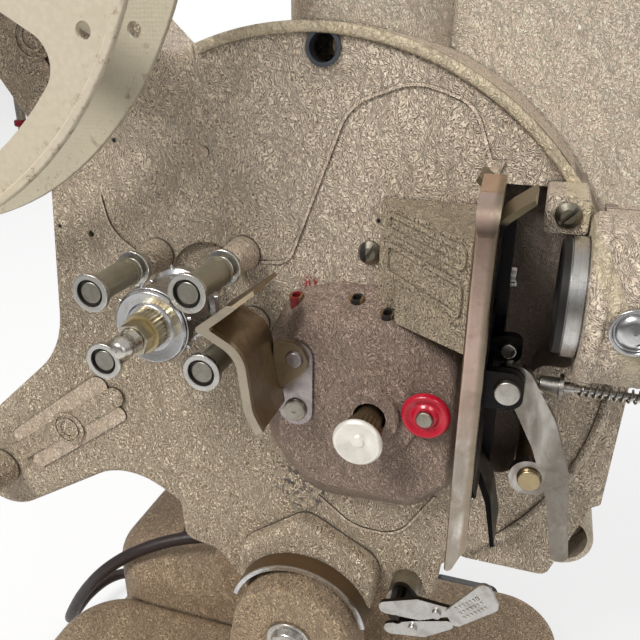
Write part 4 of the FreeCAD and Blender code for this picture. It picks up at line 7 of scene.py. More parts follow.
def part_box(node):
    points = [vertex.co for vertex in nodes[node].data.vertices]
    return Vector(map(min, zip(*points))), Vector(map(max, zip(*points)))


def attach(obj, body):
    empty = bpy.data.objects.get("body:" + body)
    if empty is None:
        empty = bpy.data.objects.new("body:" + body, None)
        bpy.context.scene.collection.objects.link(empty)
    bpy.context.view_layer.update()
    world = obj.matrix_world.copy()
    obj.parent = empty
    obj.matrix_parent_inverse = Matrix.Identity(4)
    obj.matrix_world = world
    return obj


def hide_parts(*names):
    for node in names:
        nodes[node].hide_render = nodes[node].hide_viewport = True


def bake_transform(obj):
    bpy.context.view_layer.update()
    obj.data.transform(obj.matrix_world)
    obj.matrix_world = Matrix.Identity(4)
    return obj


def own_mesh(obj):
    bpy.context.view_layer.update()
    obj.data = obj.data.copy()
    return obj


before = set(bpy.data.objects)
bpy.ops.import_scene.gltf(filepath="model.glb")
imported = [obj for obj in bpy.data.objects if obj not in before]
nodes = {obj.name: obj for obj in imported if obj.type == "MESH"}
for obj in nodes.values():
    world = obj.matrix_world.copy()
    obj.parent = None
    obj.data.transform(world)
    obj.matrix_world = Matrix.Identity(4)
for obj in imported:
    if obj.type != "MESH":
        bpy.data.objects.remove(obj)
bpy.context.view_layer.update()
scene = bpy.context.scene

# The head is laid out from the sprocket's axis at the front wall, in millimetres
SHIFT = Vector((11.3, -15.2, 182.0))


def at(x, y, z):
    """A point of the head's layout in the row frame, in metres."""
    return (Vector((x, y, z)) + SHIFT) / 1000


# Camera, at the photograph's viewing angle
AZIMUTH, ELEVATION, ROLL = map(math.radians, (17.69, 23.0, 0.14))
EYE = (81.01, -157.71, 63.70)
FOCAL_PIXELS = 698.7
PHOTO_PIXELS = 640
SENSOR_WIDTH = 36.0
back = Vector((math.sin(AZIMUTH) * math.cos(ELEVATION),
               -math.cos(AZIMUTH) * math.cos(ELEVATION),
               math.sin(ELEVATION)))
right = Vector((math.cos(AZIMUTH), math.sin(AZIMUTH), 0))
level = Matrix((right, back.cross(right), back)).transposed()
camera = bpy.data.objects.new("camera", bpy.data.cameras.new("camera"))
scene.collection.objects.link(camera)
camera.matrix_world = Matrix.Translation(at(*EYE)) @ level.to_4x4() @ Matrix.Rotation(ROLL, 4, "Z")
camera.data.sensor_width = SENSOR_WIDTH
camera.data.lens = SENSOR_WIDTH * FOCAL_PIXELS / PHOTO_PIXELS
camera.data.clip_start = 0.01
camera.data.clip_end = 20.0
scene.camera = camera
scene.view_settings.view_transform = "Standard"


# The bending lead and the gate's coil spring
def smooth_line(name, points):
    """The points along a smooth NURBS line through a route given in the head's layout."""
    data = bpy.data.curves.new(name, "CURVE")
    data.dimensions = "3D"
    spline = data.splines.new("NURBS")
    spline.points.add(len(points) - 1)
    for point, place in zip(spline.points, points):
        point.co = (*at(*place), 1)
    spline.order_u = 3
    spline.use_endpoint_u = True
    spline.resolution_u = 12
    made = bpy.data.objects.new(name, data)
    scene.collection.objects.link(made)
    mesh = bpy.data.meshes.new_from_object(made)
    line = [vertex.co.copy() for vertex in mesh.vertices]
    bpy.data.objects.remove(made)
    return line


def tube(name, line, radius, sides):
    """A round tube that follows a line, its ends closed."""
    shape = bmesh.new()
    across = Vector((0, 0, 1))
    rings = []
    for i, place in enumerate(line):
        along = (line[min(i + 1, len(line) - 1)] - line[max(i - 1, 0)]).normalized()
        across = across - along * across.dot(along)
        if across.length < 1e-6:
            across = along.orthogonal()
        across.normalize()
        side = along.cross(across)
        ring = []
        for k in range(sides):
            turn = 2 * math.pi * k / sides
            outward = across * math.cos(turn) + side * math.sin(turn)
            ring.append(shape.verts.new(place + outward * radius))
        rings.append(ring)
    for one, two in zip(rings, rings[1:]):
        for k in range(sides):
            shape.faces.new((one[k], one[(k + 1) % sides], two[(k + 1) % sides], two[k]))
    shape.faces.new(rings[0][::-1])
    shape.faces.new(rings[-1])
    bmesh.ops.recalc_face_normals(shape, faces=shape.faces)
    mesh = bpy.data.meshes.new(name)
    shape.to_mesh(mesh)
    shape.free()
    for face in mesh.polygons:
        face.use_smooth = len(face.vertices) == 4
    made = bpy.data.objects.new(name, mesh)
    scene.collection.objects.link(made)
    return made


LEAD_RADIUS = 2.3
LEAD_SIDES = 20
LEAD_ROUTE = [
    (12.0, 26.0, -81.0), (12.0, 26.0, -90.5), (6.5, 25.5, -99.5), (-4.5, 24.0, -104.0),
    (-17.0, 21.5, -105.5), (-31.0, 18.5, -108.5), (-45.5, 14.8, -115.0), (-58.5, 12.5, -125.5),
    (-69.0, 12.3, -139.0), (-77.0, 13.5, -152.5), (-83.5, 18.5, -163.5), (-88.5, 28.0, -170.0),
    (-90.0, 39.5, -171.0), (-86.6, 51.4, -171.0), (-78.4, 57.3, -171.0), (-68.0, 57.3, -171.0),
]
lead_line = smooth_line("lead_line", LEAD_ROUTE)
lead = tube("supply_lead_cable", lead_line, LEAD_RADIUS / 1000, LEAD_SIDES)
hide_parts("supply_lead")
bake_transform(lead)

SPRING_START = 92.9
SPRING_RADIUS = 1.3
SPRING_WIRE = 0.5
SPRING_PITCH = 1.35
SPRING_TURNS = 10
STEPS_PER_TURN = 28
WIRE_SIDES = 10
ROD_AXIS = (-17.5, -7.1)
spring_line = []
for i in range(SPRING_TURNS * STEPS_PER_TURN + 1):
    turn = 2 * math.pi * i / STEPS_PER_TURN
    spring_line.append(at(SPRING_START + SPRING_WIRE / 2 + SPRING_PITCH * i / STEPS_PER_TURN,
                          ROD_AXIS[0] + SPRING_RADIUS * math.sin(turn),
                          ROD_AXIS[1] + SPRING_RADIUS * math.cos(turn)))
spring = tube("gate_coil_spring", spring_line, SPRING_WIRE / 2000, WIRE_SIDES)
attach(spring, "gate_slide_body")
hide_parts("gate_spring")
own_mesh(spring)


# Materials
class Graph:
    """A material's node tree with short ways to add and join nodes."""

    def __init__(self, name):
        self.material = bpy.data.materials.new(name)
        self.material.use_nodes = True
        self.tree = self.material.node_tree
        self.tree.nodes.clear()
        self.out = self.tree.nodes.new("ShaderNodeOutputMaterial")
        self.shader = self.tree.nodes.new("ShaderNodeBsdfPrincipled")
        self.tree.links.new(self.shader.outputs["BSDF"], self.out.inputs["Surface"])
        place = self.tree.nodes.new("ShaderNodeTexCoord").outputs["Object"]
        row_mm = self.math3("MULTIPLY", place, (1000, 1000, 1000))
        self.mm = self.math3("SUBTRACT", row_mm, tuple(SHIFT))
        split = self.tree.nodes.new("ShaderNodeSeparateXYZ")
        self.tree.links.new(self.mm, split.inputs[0])
        self.x, self.y, self.z = split.outputs

    def node(self, kind, values=None, links=None, **settings):
        made = self.tree.nodes.new(kind)
        for name, value in settings.items():
            setattr(made, name, value)
        for key, value in (values or {}).items():
            made.inputs[key].default_value = value
        for key, socket in (links or {}).items():
            self.tree.links.new(socket, made.inputs[key])
        return made

    def feed(self, made, pairs):
        """Give a node's inputs their sockets or plain values."""
        for key, value in pairs:
            if isinstance(value, bpy.types.NodeSocket):
                self.tree.links.new(value, made.inputs[key])
            else:
                made.inputs[key].default_value = value

    def math(self, how, a, b=0.0):
        made = self.node("ShaderNodeMath", operation=how)
        self.feed(made, ((0, a), (1, b)))
        return made.outputs[0]

    def math3(self, how, a, b=(0, 0, 0)):
        made = self.node("ShaderNodeVectorMath", operation=how)
        self.feed(made, ((0, a), (1, b)))
        return made.outputs["Value" if how == "LENGTH" else "Vector"]

    def noise(self, scale, detail=2.0, rough=0.5, distort=0.0, vector=None, part="Fac"):
        values = {"Scale": scale, "Detail": detail, "Roughness": rough, "Distortion": distort}
        return self.node("ShaderNodeTexNoise", values, {"Vector": vector or self.mm}).outputs[part]

    def stretched(self, x, y, z, source=None):
        """The place, or another vector, scaled along each axis."""
        return self.math3("MULTIPLY", source or self.mm, (x, y, z))

    def ramp(self, value, stops):
        """A value turned into a grey or a colour through stops of (position, colour)."""
        made = self.tree.nodes.new("ShaderNodeValToRGB")
        elements = made.color_ramp.elements
        while len(elements) < len(stops):
            elements.new(0.5)
        for element, (position, colour) in zip(elements, stops):
            element.position = position
            element.color = (*colour, 1) if isinstance(colour, tuple) else (colour, colour, colour, 1)
        self.tree.links.new(value, made.inputs["Fac"])
        return made.outputs["Color"]

    def mix(self, factor, a, b):
        made = self.node("ShaderNodeMix", data_type="RGBA")
        pairs = [(0, factor)]
        for key, value in ((6, a), (7, b)):
            pairs.append((key, (*value, 1) if isinstance(value, tuple) else value))
        self.feed(made, pairs)
        return made.outputs[2]

    def over(self, value, edge, soft=0.2):
        """1 where a value is over an edge and 0 where it is under."""
        ends = {"From Min": edge - soft / 2, "From Max": edge + soft / 2}
        made = self.node("ShaderNodeMapRange", ends, clamp=True)
        self.tree.links.new(value, made.inputs["Value"])
        return made.outputs["Result"]

    def under(self, value, edge, soft=0.2):
        return self.math("SUBTRACT", 1.0, self.over(value, edge, soft))

    def away(self, centre, keep=(1, 1, 1)):
        """The distance from a point of the head's layout, along the axes that are kept."""
        offset = self.math3("SUBTRACT", self.mm, centre)
        return self.math3("LENGTH", self.math3("MULTIPLY", offset, keep))

    def spot(self, centre, radius, soft=0.3, keep=(1, 1, 1)):
        """1 within a radius of a point and 0 outside it."""
        return self.under(self.away(centre, keep), radius, soft)

    def block(self, low, high, soft=0.4):
        """1 inside a box of the head's layout and 0 outside it."""
        inside = self.under(self.x, high[0], soft)
        sides = ((self.x, low[0], self.over), (self.y, low[1], self.over), (self.y, high[1], self.under),
                 (self.z, low[2], self.over), (self.z, high[2], self.under))
        for value, edge, how in sides:
            inside = self.both(inside, how(value, edge, soft))
        return inside

    def both(self, a, b):
        return self.math("MULTIPLY", a, b)

    def corners(self, reach):
        """A mask for painted shade: 1 far into a corner and 0 in the open."""
        made = self.node("ShaderNodeAmbientOcclusion", {"Distance": reach / 1000}, samples=4)
        return self.ramp(made.outputs["AO"], [(0.25, 1.0), (0.75, 0.0)])

    def bump(self, *layers):
        """Stacked bumps of (height socket, depth in millimetres, strength)."""
        normal = None
        for height, depth, strength in layers:
            values = {"Distance": depth / 1000, "Strength": strength}
            made = self.node("ShaderNodeBump", values, {"Height": height})
            if normal is not None:
                self.tree.links.new(normal, made.inputs["Normal"])
            normal = made.outputs["Normal"]
        self.tree.links.new(normal, self.shader.inputs["Normal"])

    def set(self, **values):
        """Give the shader its values, and return the finished material."""
        for key, value in values.items():
            socket = self.shader.inputs[key.replace("_", " ")]
            if isinstance(value, bpy.types.NodeSocket):
                self.tree.links.new(value, socket)
            elif isinstance(value, tuple):
                socket.default_value = (*value, 1)
            else:
                socket.default_value = value
        return self.material


def scaled(colour, by):
    """A colour made lighter or darker."""
    return tuple(min(1.0, part * by) for part in colour)


DRIFT_MM = 11.0
SWAY_MM = 3.4


def wrinkles(g, size):
    """The height of wrinkle enamel: fine winding ridges that break off short, with fur between them."""
    drift = g.math3("SUBTRACT", g.noise(0.09 / size, 2, 0.5, part="Color"), (0.5, 0.5, 0.5))
    sway = g.math3("SUBTRACT", g.noise(0.55 / size, 2, 0.5, part="Color"), (0.5, 0.5, 0.5))
    bent = g.math3("ADD", g.mm, g.math3("MULTIPLY", drift, (DRIFT_MM * size,) * 3))
    bent = g.math3("ADD", bent, g.math3("MULTIPLY", sway, (SWAY_MM * size,) * 3))
    split = g.node("ShaderNodeSeparateXYZ", links={0: bent}).outputs
    along = g.math("MULTIPLY", split[0], 9.0 / size)
    along = g.math("ADD", along, g.math("MULTIPLY", split[2], 4.4 / size))
    along = g.math("ADD", along, g.math("MULTIPLY", split[1], 5.6 / size))
    ridge = g.math("SINE", g.math("ADD", along, g.math("MULTIPLY", g.noise(0.85 / size, 2, 0.5), 9.0)))
    short = g.ramp(g.noise(1.15 / size, 2, 0.6), [(0.36, 0.25), (0.60, 1.0)])
    fur = g.noise(1.8 / size, 3, 0.68, 0.0, g.stretched(1.0, 1.0, 0.5, bent))
    ridge = g.math("ADD", 0.5, g.math("MULTIPLY", g.both(ridge, short), 0.30))
    return g.math("ADD", g.math("MULTIPLY", ridge, 0.5), g.math("MULTIPLY", fur, 0.5))


PINK_TAUPE = (0.700, 0.560, 0.438)
OLIVE_TAUPE = (0.415, 0.305, 0.200)
# Painted shade: a dark brown for the wrinkles' creases, corners and the raised lines' side walls
SHADE_BROWN = (0.045, 0.031, 0.020)
RIM_CREAM = (0.72, 0.61, 0.42)
CAVITY_BROWN = (0.300, 0.235, 0.190)
WORN_BLUE = (0.045, 0.050, 0.062)
SPLASH_RED = (0.40, 0.012, 0.03)
HOLE_SHADE = (0.01, 0.008, 0.006)
CAVITY = ((69.0, 0.5, -46.5), (97.0, 13.0, 35.0))
DRUM = (27.3, 0.0, -11.5)
DRUM_RADIUS = 76.0
RIM_WIDTH = 2.6
WORN_PATCH = (26.0, -2.0, -58.8)
RED_SPLASH = (28.3, 0.0, 2.7)
SMALL_HOLES = ((45.2, 0.0, 20.8), (-24.7, 0.0, 36.1), (-45.1, 0.0, 11.8), (-71.4, 0.0, -63.4))


def wrinkle_paint(name, light, dark, size=1.0, marks=None, contrast=1.0):
    """Wrinkle enamel over a casting: browner low down, with painted shade in its creases and painted
    highlights on its high spots.
    """
    g = Graph(name)
    height = wrinkles(g, size)
    slant = g.math("ADD", g.z, g.math("MULTIPLY", g.x, 0.6))
    upper = g.over(g.math("ADD", slant, g.math("MULTIPLY", g.noise(0.03, 2, 0.5), 50.0)), 20.0, 80.0)
    tone = g.mix(upper, dark, light)
    # Painted shade: the wrinkles' creases are darkened towards a shade brown
    fold_shade_tone = g.mix(0.66 * contrast, tone, SHADE_BROWN)
    fold_shade = g.ramp(height, [(0.36, 1.0), (0.50, 0.0)])
    # Painted highlight: the wrinkles' high spots are lightened where they would catch the light
    tone = g.mix(g.ramp(height, [(0.50, 0.0), (0.62, 0.9)]), tone, scaled(light, 1.6))
    tone = g.mix(fold_shade, tone, fold_shade_tone)
    stained = g.ramp(g.noise(0.16, 4, 0.65), [(0.55, 0.0), (0.72, 0.35)])
    tone = g.mix(stained, tone, scaled(dark, 0.72))
    # Painted shade in corners
    tone = g.mix(g.math("MULTIPLY", g.corners(1.8), 0.75), tone, SHADE_BROWN)
    if marks:
        tone = marks(g, tone)
    g.bump((height, 1.1 * size, 1.0))
    rough = g.ramp(height, [(0.40, 0.66), (0.62, 0.38)])
    return g.set(Base_Color=tone, Roughness=rough, Metallic=0.12, Specular_IOR_Level=0.55)


def worn_patch(g, tone, radius, soft):
    """A patch below the cover that is worn to blue-black metal."""
    near = g.spot(WORN_PATCH, radius, soft)
    worn = g.both(near, g.ramp(g.noise(0.45, 4, 0.6), [(0.50, 0.0), (0.58, 0.8)]))
    return g.mix(worn, tone, WORN_BLUE)


def casting_marks(g, tone):
    """The drum's pale rim, the gate's dark recess, the worn patch, a red splash, small holes painted black
    for the shade in them, and painted shade on the raised lines' side walls.
    """
    out = g.away(DRUM, (1, 0, 1))
    rim = g.both(g.over(out, DRUM_RADIUS - RIM_WIDTH, 0.8), g.under(out, DRUM_RADIUS + 0.6, 0.4))
    upper_right = g.both(g.over(g.x, 0.0, 10.0), g.over(g.z, -4.0, 16.0))
    rim = g.both(g.both(rim, g.under(g.y, 1.2, 1.0)), upper_right)
    tone = g.mix(g.both(rim, g.ramp(g.noise(0.5, 3, 0.6), [(0.35, 0.5), (0.6, 0.95)])), tone, RIM_CREAM)
    tone = g.mix(g.math("MULTIPLY", g.block(*CAVITY), 0.95), tone, CAVITY_BROWN)
    tone = worn_patch(g, tone, 9.0, 6.0)
    near = g.spot(RED_SPLASH, 2.4, 1.6)
    splash = g.both(near, g.ramp(g.noise(1.1, 3, 0.6), [(0.47, 0.0), (0.52, 1.0)]))
    tone = g.mix(splash, tone, SPLASH_RED)
    # Painted shade: the small holes are filled in black for the shade inside them
    for place in SMALL_HOLES:
        tone = g.mix(g.spot(place, 0.62, 0.5), tone, HOLE_SHADE)
    # Painted shade: the side walls of the raised lines are darkened, standing for their shadow and for
    # paint pooled along them
    normal = g.node("ShaderNodeTexCoord").outputs["Normal"]
    facing = g.node("ShaderNodeSeparateXYZ", links={0: normal}).outputs[1]
    shaded_walls = g.under(g.math("ABSOLUTE", facing), 0.55, 0.2)
    raised = g.both(g.over(g.y, -0.75, 0.1), g.under(g.y, 0.02, 0.06))
    line_top = g.math("MULTIPLY", g.both(raised, g.under(g.y, -0.3, 0.1)), 0.35)
    tone = g.mix(line_top, tone, scaled(PINK_TAUPE, 1.35))
    return g.mix(g.math("MULTIPLY", g.both(shaded_walls, raised), 0.85), tone, SHADE_BROWN)


def cover_marks(g, tone):
    """The part of the worn patch that lies on the cover."""
    return worn_patch(g, tone, 8.0, 5.0)


def metal(name, colour, tarnish, rough=0.28, spread=0.35, grain=(1, 1, 1),
          zones=(), rings=None, reflection_clouds=0.0):
    """Metal with fine grain or lathe rings, dull patches, broad light and dark patches of painted
    reflection, painted shade in corners and zones of another finish.
    """
    g = Graph(name)
    grained = g.stretched(*grain)
    if rings:
        centre, keep = rings
        along = g.math3("MULTIPLY", g.mm, tuple(1 - part for part in keep))
        turned = {"X": g.away(centre, keep), "Y": g.math3("LENGTH", along)}
        grained = g.node("ShaderNodeCombineXYZ", links=turned).outputs[0]
    scratches = g.noise(2.6, 4, 0.65, 0.2, grained)
    patches = g.noise(0.24, 4, 0.65, 0.5)
    tone = g.mix(g.ramp(patches, [(0.46, 0.0), (0.70, spread)]), colour, tarnish)
    tone = g.mix(g.ramp(scratches, [(0.34, 0.22), (0.55, 0.0)]), tone, scaled(tarnish, 0.8))
    if reflection_clouds:
        # Painted reflection: broad dark and bright streaks stand in for what mirror-like metal reflects
        reflection_cloud = g.noise(0.075, 3, 0.5, 0.6, g.stretched(1.6, 1.0, 0.8))
        tone = g.mix(g.ramp(reflection_cloud, [(0.44, reflection_clouds), (0.58, 0.0)]), tone, scaled(tarnish, 0.55))
        tone = g.mix(g.ramp(reflection_cloud, [(0.56, 0.0), (0.68, reflection_clouds)]), tone, scaled(colour, 1.5))
    dull = g.ramp(patches, [(0.42, rough), (0.75, min(1.0, rough + 0.2))])
    plated = (1.0, 1.0, 1.0) if zones else 1.0
    for where, other, other_rough, other_metal in zones:
        mask = where(g)
        patched = g.mix(g.ramp(patches, [(0.45, 0.0), (0.70, 0.4)]), other, scaled(other, 0.6))
        tone = g.mix(mask, tone, patched)
        dull = g.mix(mask, dull, (other_rough,) * 3)
        plated = g.mix(mask, plated, (other_metal,) * 3)
    # Painted shade: corners are darkened towards the tarnish
    tone = g.mix(g.math("MULTIPLY", g.corners(1.2), 0.7), tone, scaled(tarnish, 0.2))
    g.bump((scratches, 0.03, 0.5), (patches, 0.10, 0.2))
    return g.set(Base_Color=tone, Roughness=dull, Metallic=plated)


def moulded(name, colour, rough=0.3, worn=0.12, coat=0.0):
    """Moulded plastic or gloss enamel with faint orange peel, dust and rubbed spots, and painted shade in
    corners.
    """
    g = Graph(name)
    peel = g.noise(0.9, 2, 0.5)
    dust = g.noise(2.8, 4, 0.7)
    tone = g.mix(g.ramp(dust, [(0.55, 0.0), (0.75, worn)]), colour, (0.55, 0.5, 0.42))
    # Painted shade: corners are darkened
    tone = g.mix(g.math("MULTIPLY", g.corners(1.5), 0.6), tone, scaled(colour, 0.25))
    g.bump((peel, 0.05, 0.3), (dust, 0.02, 0.4))
    matt = g.ramp(dust, [(0.35, rough), (0.7, rough + 0.2)])
    return g.set(Base_Color=tone, Roughness=matt, Coat_Weight=coat)


REEL_FRONT = -34.4
REEL_REAR = -16.4
REEL_AXIS = (-77.2, 0.0, 103.3)
REEL_RADIUS = 89.0


def reel_enamel():
    """Cream enamel over embossed sheet: leather grain in front, fine dots behind, rust at the rims, painted
    shade in corners.
    """
    g = Graph("reel_cream")
    rear = g.over(g.y, (REEL_FRONT + REEL_REAR) / 2, 1.0)
    leather = g.node("ShaderNodeTexVoronoi", {"Scale": 0.75, "Randomness": 0.9}, {"Vector": g.mm},
                     feature="SMOOTH_F1")
    dots = g.node("ShaderNodeTexVoronoi", {"Scale": 1.15, "Randomness": 0.35}, {"Vector": g.mm})
    grain = g.mix(rear, leather.outputs["Distance"], dots.outputs["Distance"])
    cream = g.mix(rear, (0.615, 0.545, 0.430), (0.500, 0.460, 0.360))
    cream = g.mix(g.ramp(g.noise(0.05, 3, 0.5), [(0.35, 0.0), (0.7, 0.5)]), cream, (0.565, 0.490, 0.350))
    tone = g.mix(g.ramp(grain, [(0.25, 0.0), (0.75, 0.20)]), cream, (0.36, 0.31, 0.21))
    out = g.away(REEL_AXIS, (1, 0, 1))
    edge = g.over(out, REEL_RADIUS - 3.0, 4.0)
    rust = g.both(g.ramp(g.noise(0.5, 5, 0.7), [(0.55, 0.0), (0.66, 0.75)]), edge)
    tone = g.mix(rust, tone, (0.21, 0.125, 0.060))
    freckles = g.ramp(g.noise(0.9, 4, 0.7), [(0.70, 0.0), (0.74, 0.8)])
    tone = g.mix(freckles, tone, (0.10, 0.060, 0.035))
    # Painted shade: corners are darkened
    tone = g.mix(g.math("MULTIPLY", g.corners(1.2), 0.7), tone, (0.13, 0.10, 0.065))
    g.bump((grain, 0.22, 0.45), (g.noise(2.2, 3, 0.6), 0.06, 0.4))
    return g.set(Base_Color=tone, Roughness=0.42)


def clear_glass():
    """Clear glass with faint smears."""
    g = Graph("lamp_and_lens_glass")
    smear = g.noise(0.12, 3, 0.6)
    tint = g.ramp(smear, [(0.4, (0.96, 0.98, 1.0)), (0.8, (0.90, 0.92, 0.94))])
    matt = g.ramp(smear, [(0.4, 0.02), (0.8, 0.12)])
    return g.set(Base_Color=tint, Roughness=matt, Transmission_Weight=1.0, IOR=1.5)


def black_rubber(name, colour, rough=0.55, scale=1.2):
    """Dark rubber with dust on it."""
    g = Graph(name)
    dust = g.noise(scale, 4, 0.65)
    tone = g.mix(g.ramp(dust, [(0.42, 0.0), (0.72, 0.4)]), colour, scaled(colour, 2.2))
    g.bump((dust, 0.10, 0.5))
    return g.set(Base_Color=tone, Roughness=g.ramp(dust, [(0.4, rough), (0.7, rough + 0.15)]))


# Where one node carries more than one finish, the finish changes at these places
OIL_BUSHES = ((25.6, -3.4, 0.3), (41.8, -5.4, 2.3), (50.2, -9.0, 0.8))
TOP_BUSH = (31.4, 0.0, 58.9)
ROLLERS = {
    "upper_left": (-14.6, 6.7),
    "upper_right": (10.3, 9.55),
    "lower_left": (-13.35, -10.4),
    "lower_right": (12.4, -9.45),
}
LENS_AXIS = (0, -21.7, 14.8)
KNOB_AXIS = (48.0, 0, -24.0)
KNOB_CAP = 3.2
ROLLER_FLANGE = 1.6
ROLLER_RECESS = 3.42
BUSH_RADIUS = 3.2
BUSH_BORE = 1.15
SLIDE_LUG_Z = 30.5
PLATE_TAB_Z = 31.5
BAR_BACK_X = 73.6
BARREL_THREAD_X = 87.9
BARREL_MOUTH_X = 133.0
BARREL_MOUTH_RADIUS = 10.6
GUARD_EDGE = 0.7
SHOE_EDGE = 1.35
COLLAR_LOW, COLLAR_HIGH = 37.35, 39.25
TAB_BEND_X = 71.6
TAB_FRONT_Y = -14.9
BRASS_PIN_X = 80.0
KNURL_LENGTH = 3.4
HEXAGON_LENGTH = 3.6
INK = (0.012, 0.010, 0.009)
OLIVE_METAL = (0.40, 0.37, 0.29)
NICKEL = (0.60, 0.58, 0.54)
TARNISH = (0.25, 0.20, 0.14)


def front_of(node):
    """The front of a node, along Y in the head's layout."""
    return (Vector(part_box(node)[0]) * 1000 - SHIFT).y


def rear_of(node):
    """The rear of a node, along Y in the head's layout."""
    return (Vector(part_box(node)[1]) * 1000 - SHIFT).y


def bush_brass(g):
    """The rings of the three oil bushes."""
    ring = g.spot(OIL_BUSHES[0], BUSH_RADIUS)
    for place in OIL_BUSHES[1:]:
        ring = g.math("MAXIMUM", ring, g.spot(place, BUSH_RADIUS))
    return ring


def bush_bore(index):
    """The bore of one oil bush."""
    return lambda g: g.spot(OIL_BUSHES[index], BUSH_BORE, 0.25, (1, 0.2, 0.0))


def roller_metal(name, x, z):
    """Roller metal: bright flanges, an olive-grey body and painted shade in the recess round the stud."""
    axis, across = (x, 0, z), (1, 0, 1)
    front, rear = front_of("film_roller_upper_left"), rear_of("film_roller_upper_left")

    def body(g):
        return g.both(g.over(g.y, front + ROLLER_FLANGE, 0.3), g.under(g.y, rear - ROLLER_FLANGE, 0.3))

    # Painted shade: the recess round the stud is filled in black for the shade inside it
    def recess(g):
        depth = (g.over(g.y, front + 0.25, 0.3), g.under(g.y, front + 1.45, 0.2))
        return g.both(g.spot(axis, ROLLER_RECESS, 0.12, across), g.both(*depth))

    return metal(name, (0.66, 0.65, 0.62), TARNISH, 0.24, 0.3, rings=(axis, across), zones=(
        (body, OLIVE_METAL, 0.4, 0.8),
        (recess, INK, 0.6, 0.0)))


def slide_lug(g):
    return g.over(g.z, SLIDE_LUG_Z, 1.0)


def bar_middle(g):
    return g.math("MULTIPLY", g.over(g.z, -6.0, 22.0), 0.7)


def bar_back(g):
    return g.over(g.x, BAR_BACK_X, 0.8)


def plate_tab(g):
    return g.over(g.z, PLATE_TAB_Z, 1.0)


def shoe_edge(g):
    return g.under(g.y, front_of("film_shoe") + SHOE_EDGE, 0.3)


def hexagon(g):
    return g.over(g.y, rear_of("sprocket_nut") - KNURL_LENGTH - HEXAGON_LENGTH, 1.2)


def knob_cap(g):
    return g.under(g.y, front_of("inching_knob") + KNOB_CAP, 0.3)


def knob_neck(g):
    return g.over(g.y, front_of("inching_knob") + KNOB_CAP, 0.3)


def barrel_thread(g):
    return g.under(g.x, BARREL_THREAD_X, 0.3)


def barrel_mouth(g):
    inside = g.under(g.away(LENS_AXIS, (0, 1, 1)), BARREL_MOUTH_RADIUS, 0.3)
    return g.both(inside, g.under(g.x, BARREL_MOUTH_X, 1.0))


def guard_inside(g):
    return g.over(g.y, front_of("pivot_guard") + GUARD_EDGE, 0.4)


def button_collar(g):
    return g.both(g.over(g.z, COLLAR_LOW, 0.2), g.under(g.z, COLLAR_HIGH, 0.2))


def tab_bend(g):
    return g.both(g.under(g.x, TAB_BEND_X, 0.5), g.over(g.y, TAB_FRONT_Y, 0.15))


def top_bush(g):
    return g.spot(TOP_BUSH, 5.0, 0.4)


def brass_pin(g):
    return g.over(g.x, BRASS_PIN_X, 1.0)


taupe = wrinkle_paint("wrinkle_taupe", PINK_TAUPE, OLIVE_TAUPE, 1.0, casting_marks)
cover_taupe = wrinkle_paint(
    "wrinkle_cover", (0.345, 0.255, 0.205), (0.275, 0.198, 0.150), 0.9, cover_marks)
lamp_taupe = wrinkle_paint(
    "stipple_taupe", (0.800, 0.640, 0.505), (0.700, 0.550, 0.410), 0.72, None, 0.75)
wedge_taupe = wrinkle_paint(
    "coarse_taupe", (0.415, 0.340, 0.240), (0.330, 0.262, 0.170), 1.0, None, 1.25)
base_taupe = wrinkle_paint("base_taupe", (0.445, 0.325, 0.210), (0.395, 0.288, 0.185), 1.0)
nickel = metal("nickel_plate", NICKEL, TARNISH, 0.24)
dull = metal("dull_steel", (0.33, 0.30, 0.25), (0.13, 0.095, 0.06), 0.42, 0.6)
blued = metal("black_steel", (0.030, 0.030, 0.032), (0.05, 0.038, 0.026), 0.36, 0.4)
black_slide = metal("black_slide", (0.022, 0.022, 0.024), (0.045, 0.034, 0.024), 0.34, 0.5, zones=(
    (slide_lug, (0.30, 0.25, 0.155), 0.34, 1.0),))
chrome = metal("chrome_plate", (0.66, 0.66, 0.67), (0.30, 0.28, 0.25), 0.12, 0.3)
bronze = metal("bronzed_steel", (0.27, 0.205, 0.125), (0.13, 0.092, 0.052), 0.36, 0.55)
polished = metal(
    "polished_bar", (0.66, 0.62, 0.56), (0.36, 0.27, 0.19), 0.14, 0.6, (0.5, 1.0, 0.10), reflection_clouds=0.6, zones=(
        (bar_middle, (0.72, 0.50, 0.40), 0.15, 1.0),
        (bar_back, (0.36, 0.29, 0.215), 0.25, 1.0)))
plate_chrome = metal("plate_chrome", (0.58, 0.56, 0.52), (0.28, 0.22, 0.15), 0.18, 0.4, zones=(
    (plate_tab, (0.27, 0.22, 0.13), 0.34, 1.0),))
lever_steel = metal(
    "lever_steel", (0.46, 0.435, 0.395), (0.24, 0.19, 0.14), 0.20, 0.45, (0.35, 1.0, 0.12), reflection_clouds=0.6)
shoe_metal = metal("shoe_metal", (0.33, 0.265, 0.18), (0.20, 0.15, 0.095), 0.33, 0.6, zones=(
    (shoe_edge, (0.46, 0.40, 0.31), 0.22, 1.0),))
link_metal = metal("link_metal", (0.42, 0.375, 0.36), (0.24, 0.20, 0.23), 0.24, 0.6)
sprocket_metal = metal(
    "sprocket_metal", (0.56, 0.565, 0.575), TARNISH, 0.2, 0.25, rings=((0, 0, 0), (1, 0, 1)))
nut_metal = metal("nut_metal", (0.68, 0.655, 0.60), TARNISH, 0.22, 0.2, zones=(
    (hexagon, (0.56, 0.475, 0.31), 0.3, 1.0),))
knob_metal = metal(
    "knob_metal", (0.93, 0.885, 0.80), (0.60, 0.53, 0.40), 0.3, 0.3,
    rings=(KNOB_AXIS, (1, 0, 1)), zones=(
        (knob_cap, (0.885, 0.845, 0.765), 0.3, 0.4),
        (knob_neck, (0.215, 0.175, 0.105), 0.42, 0.9)))
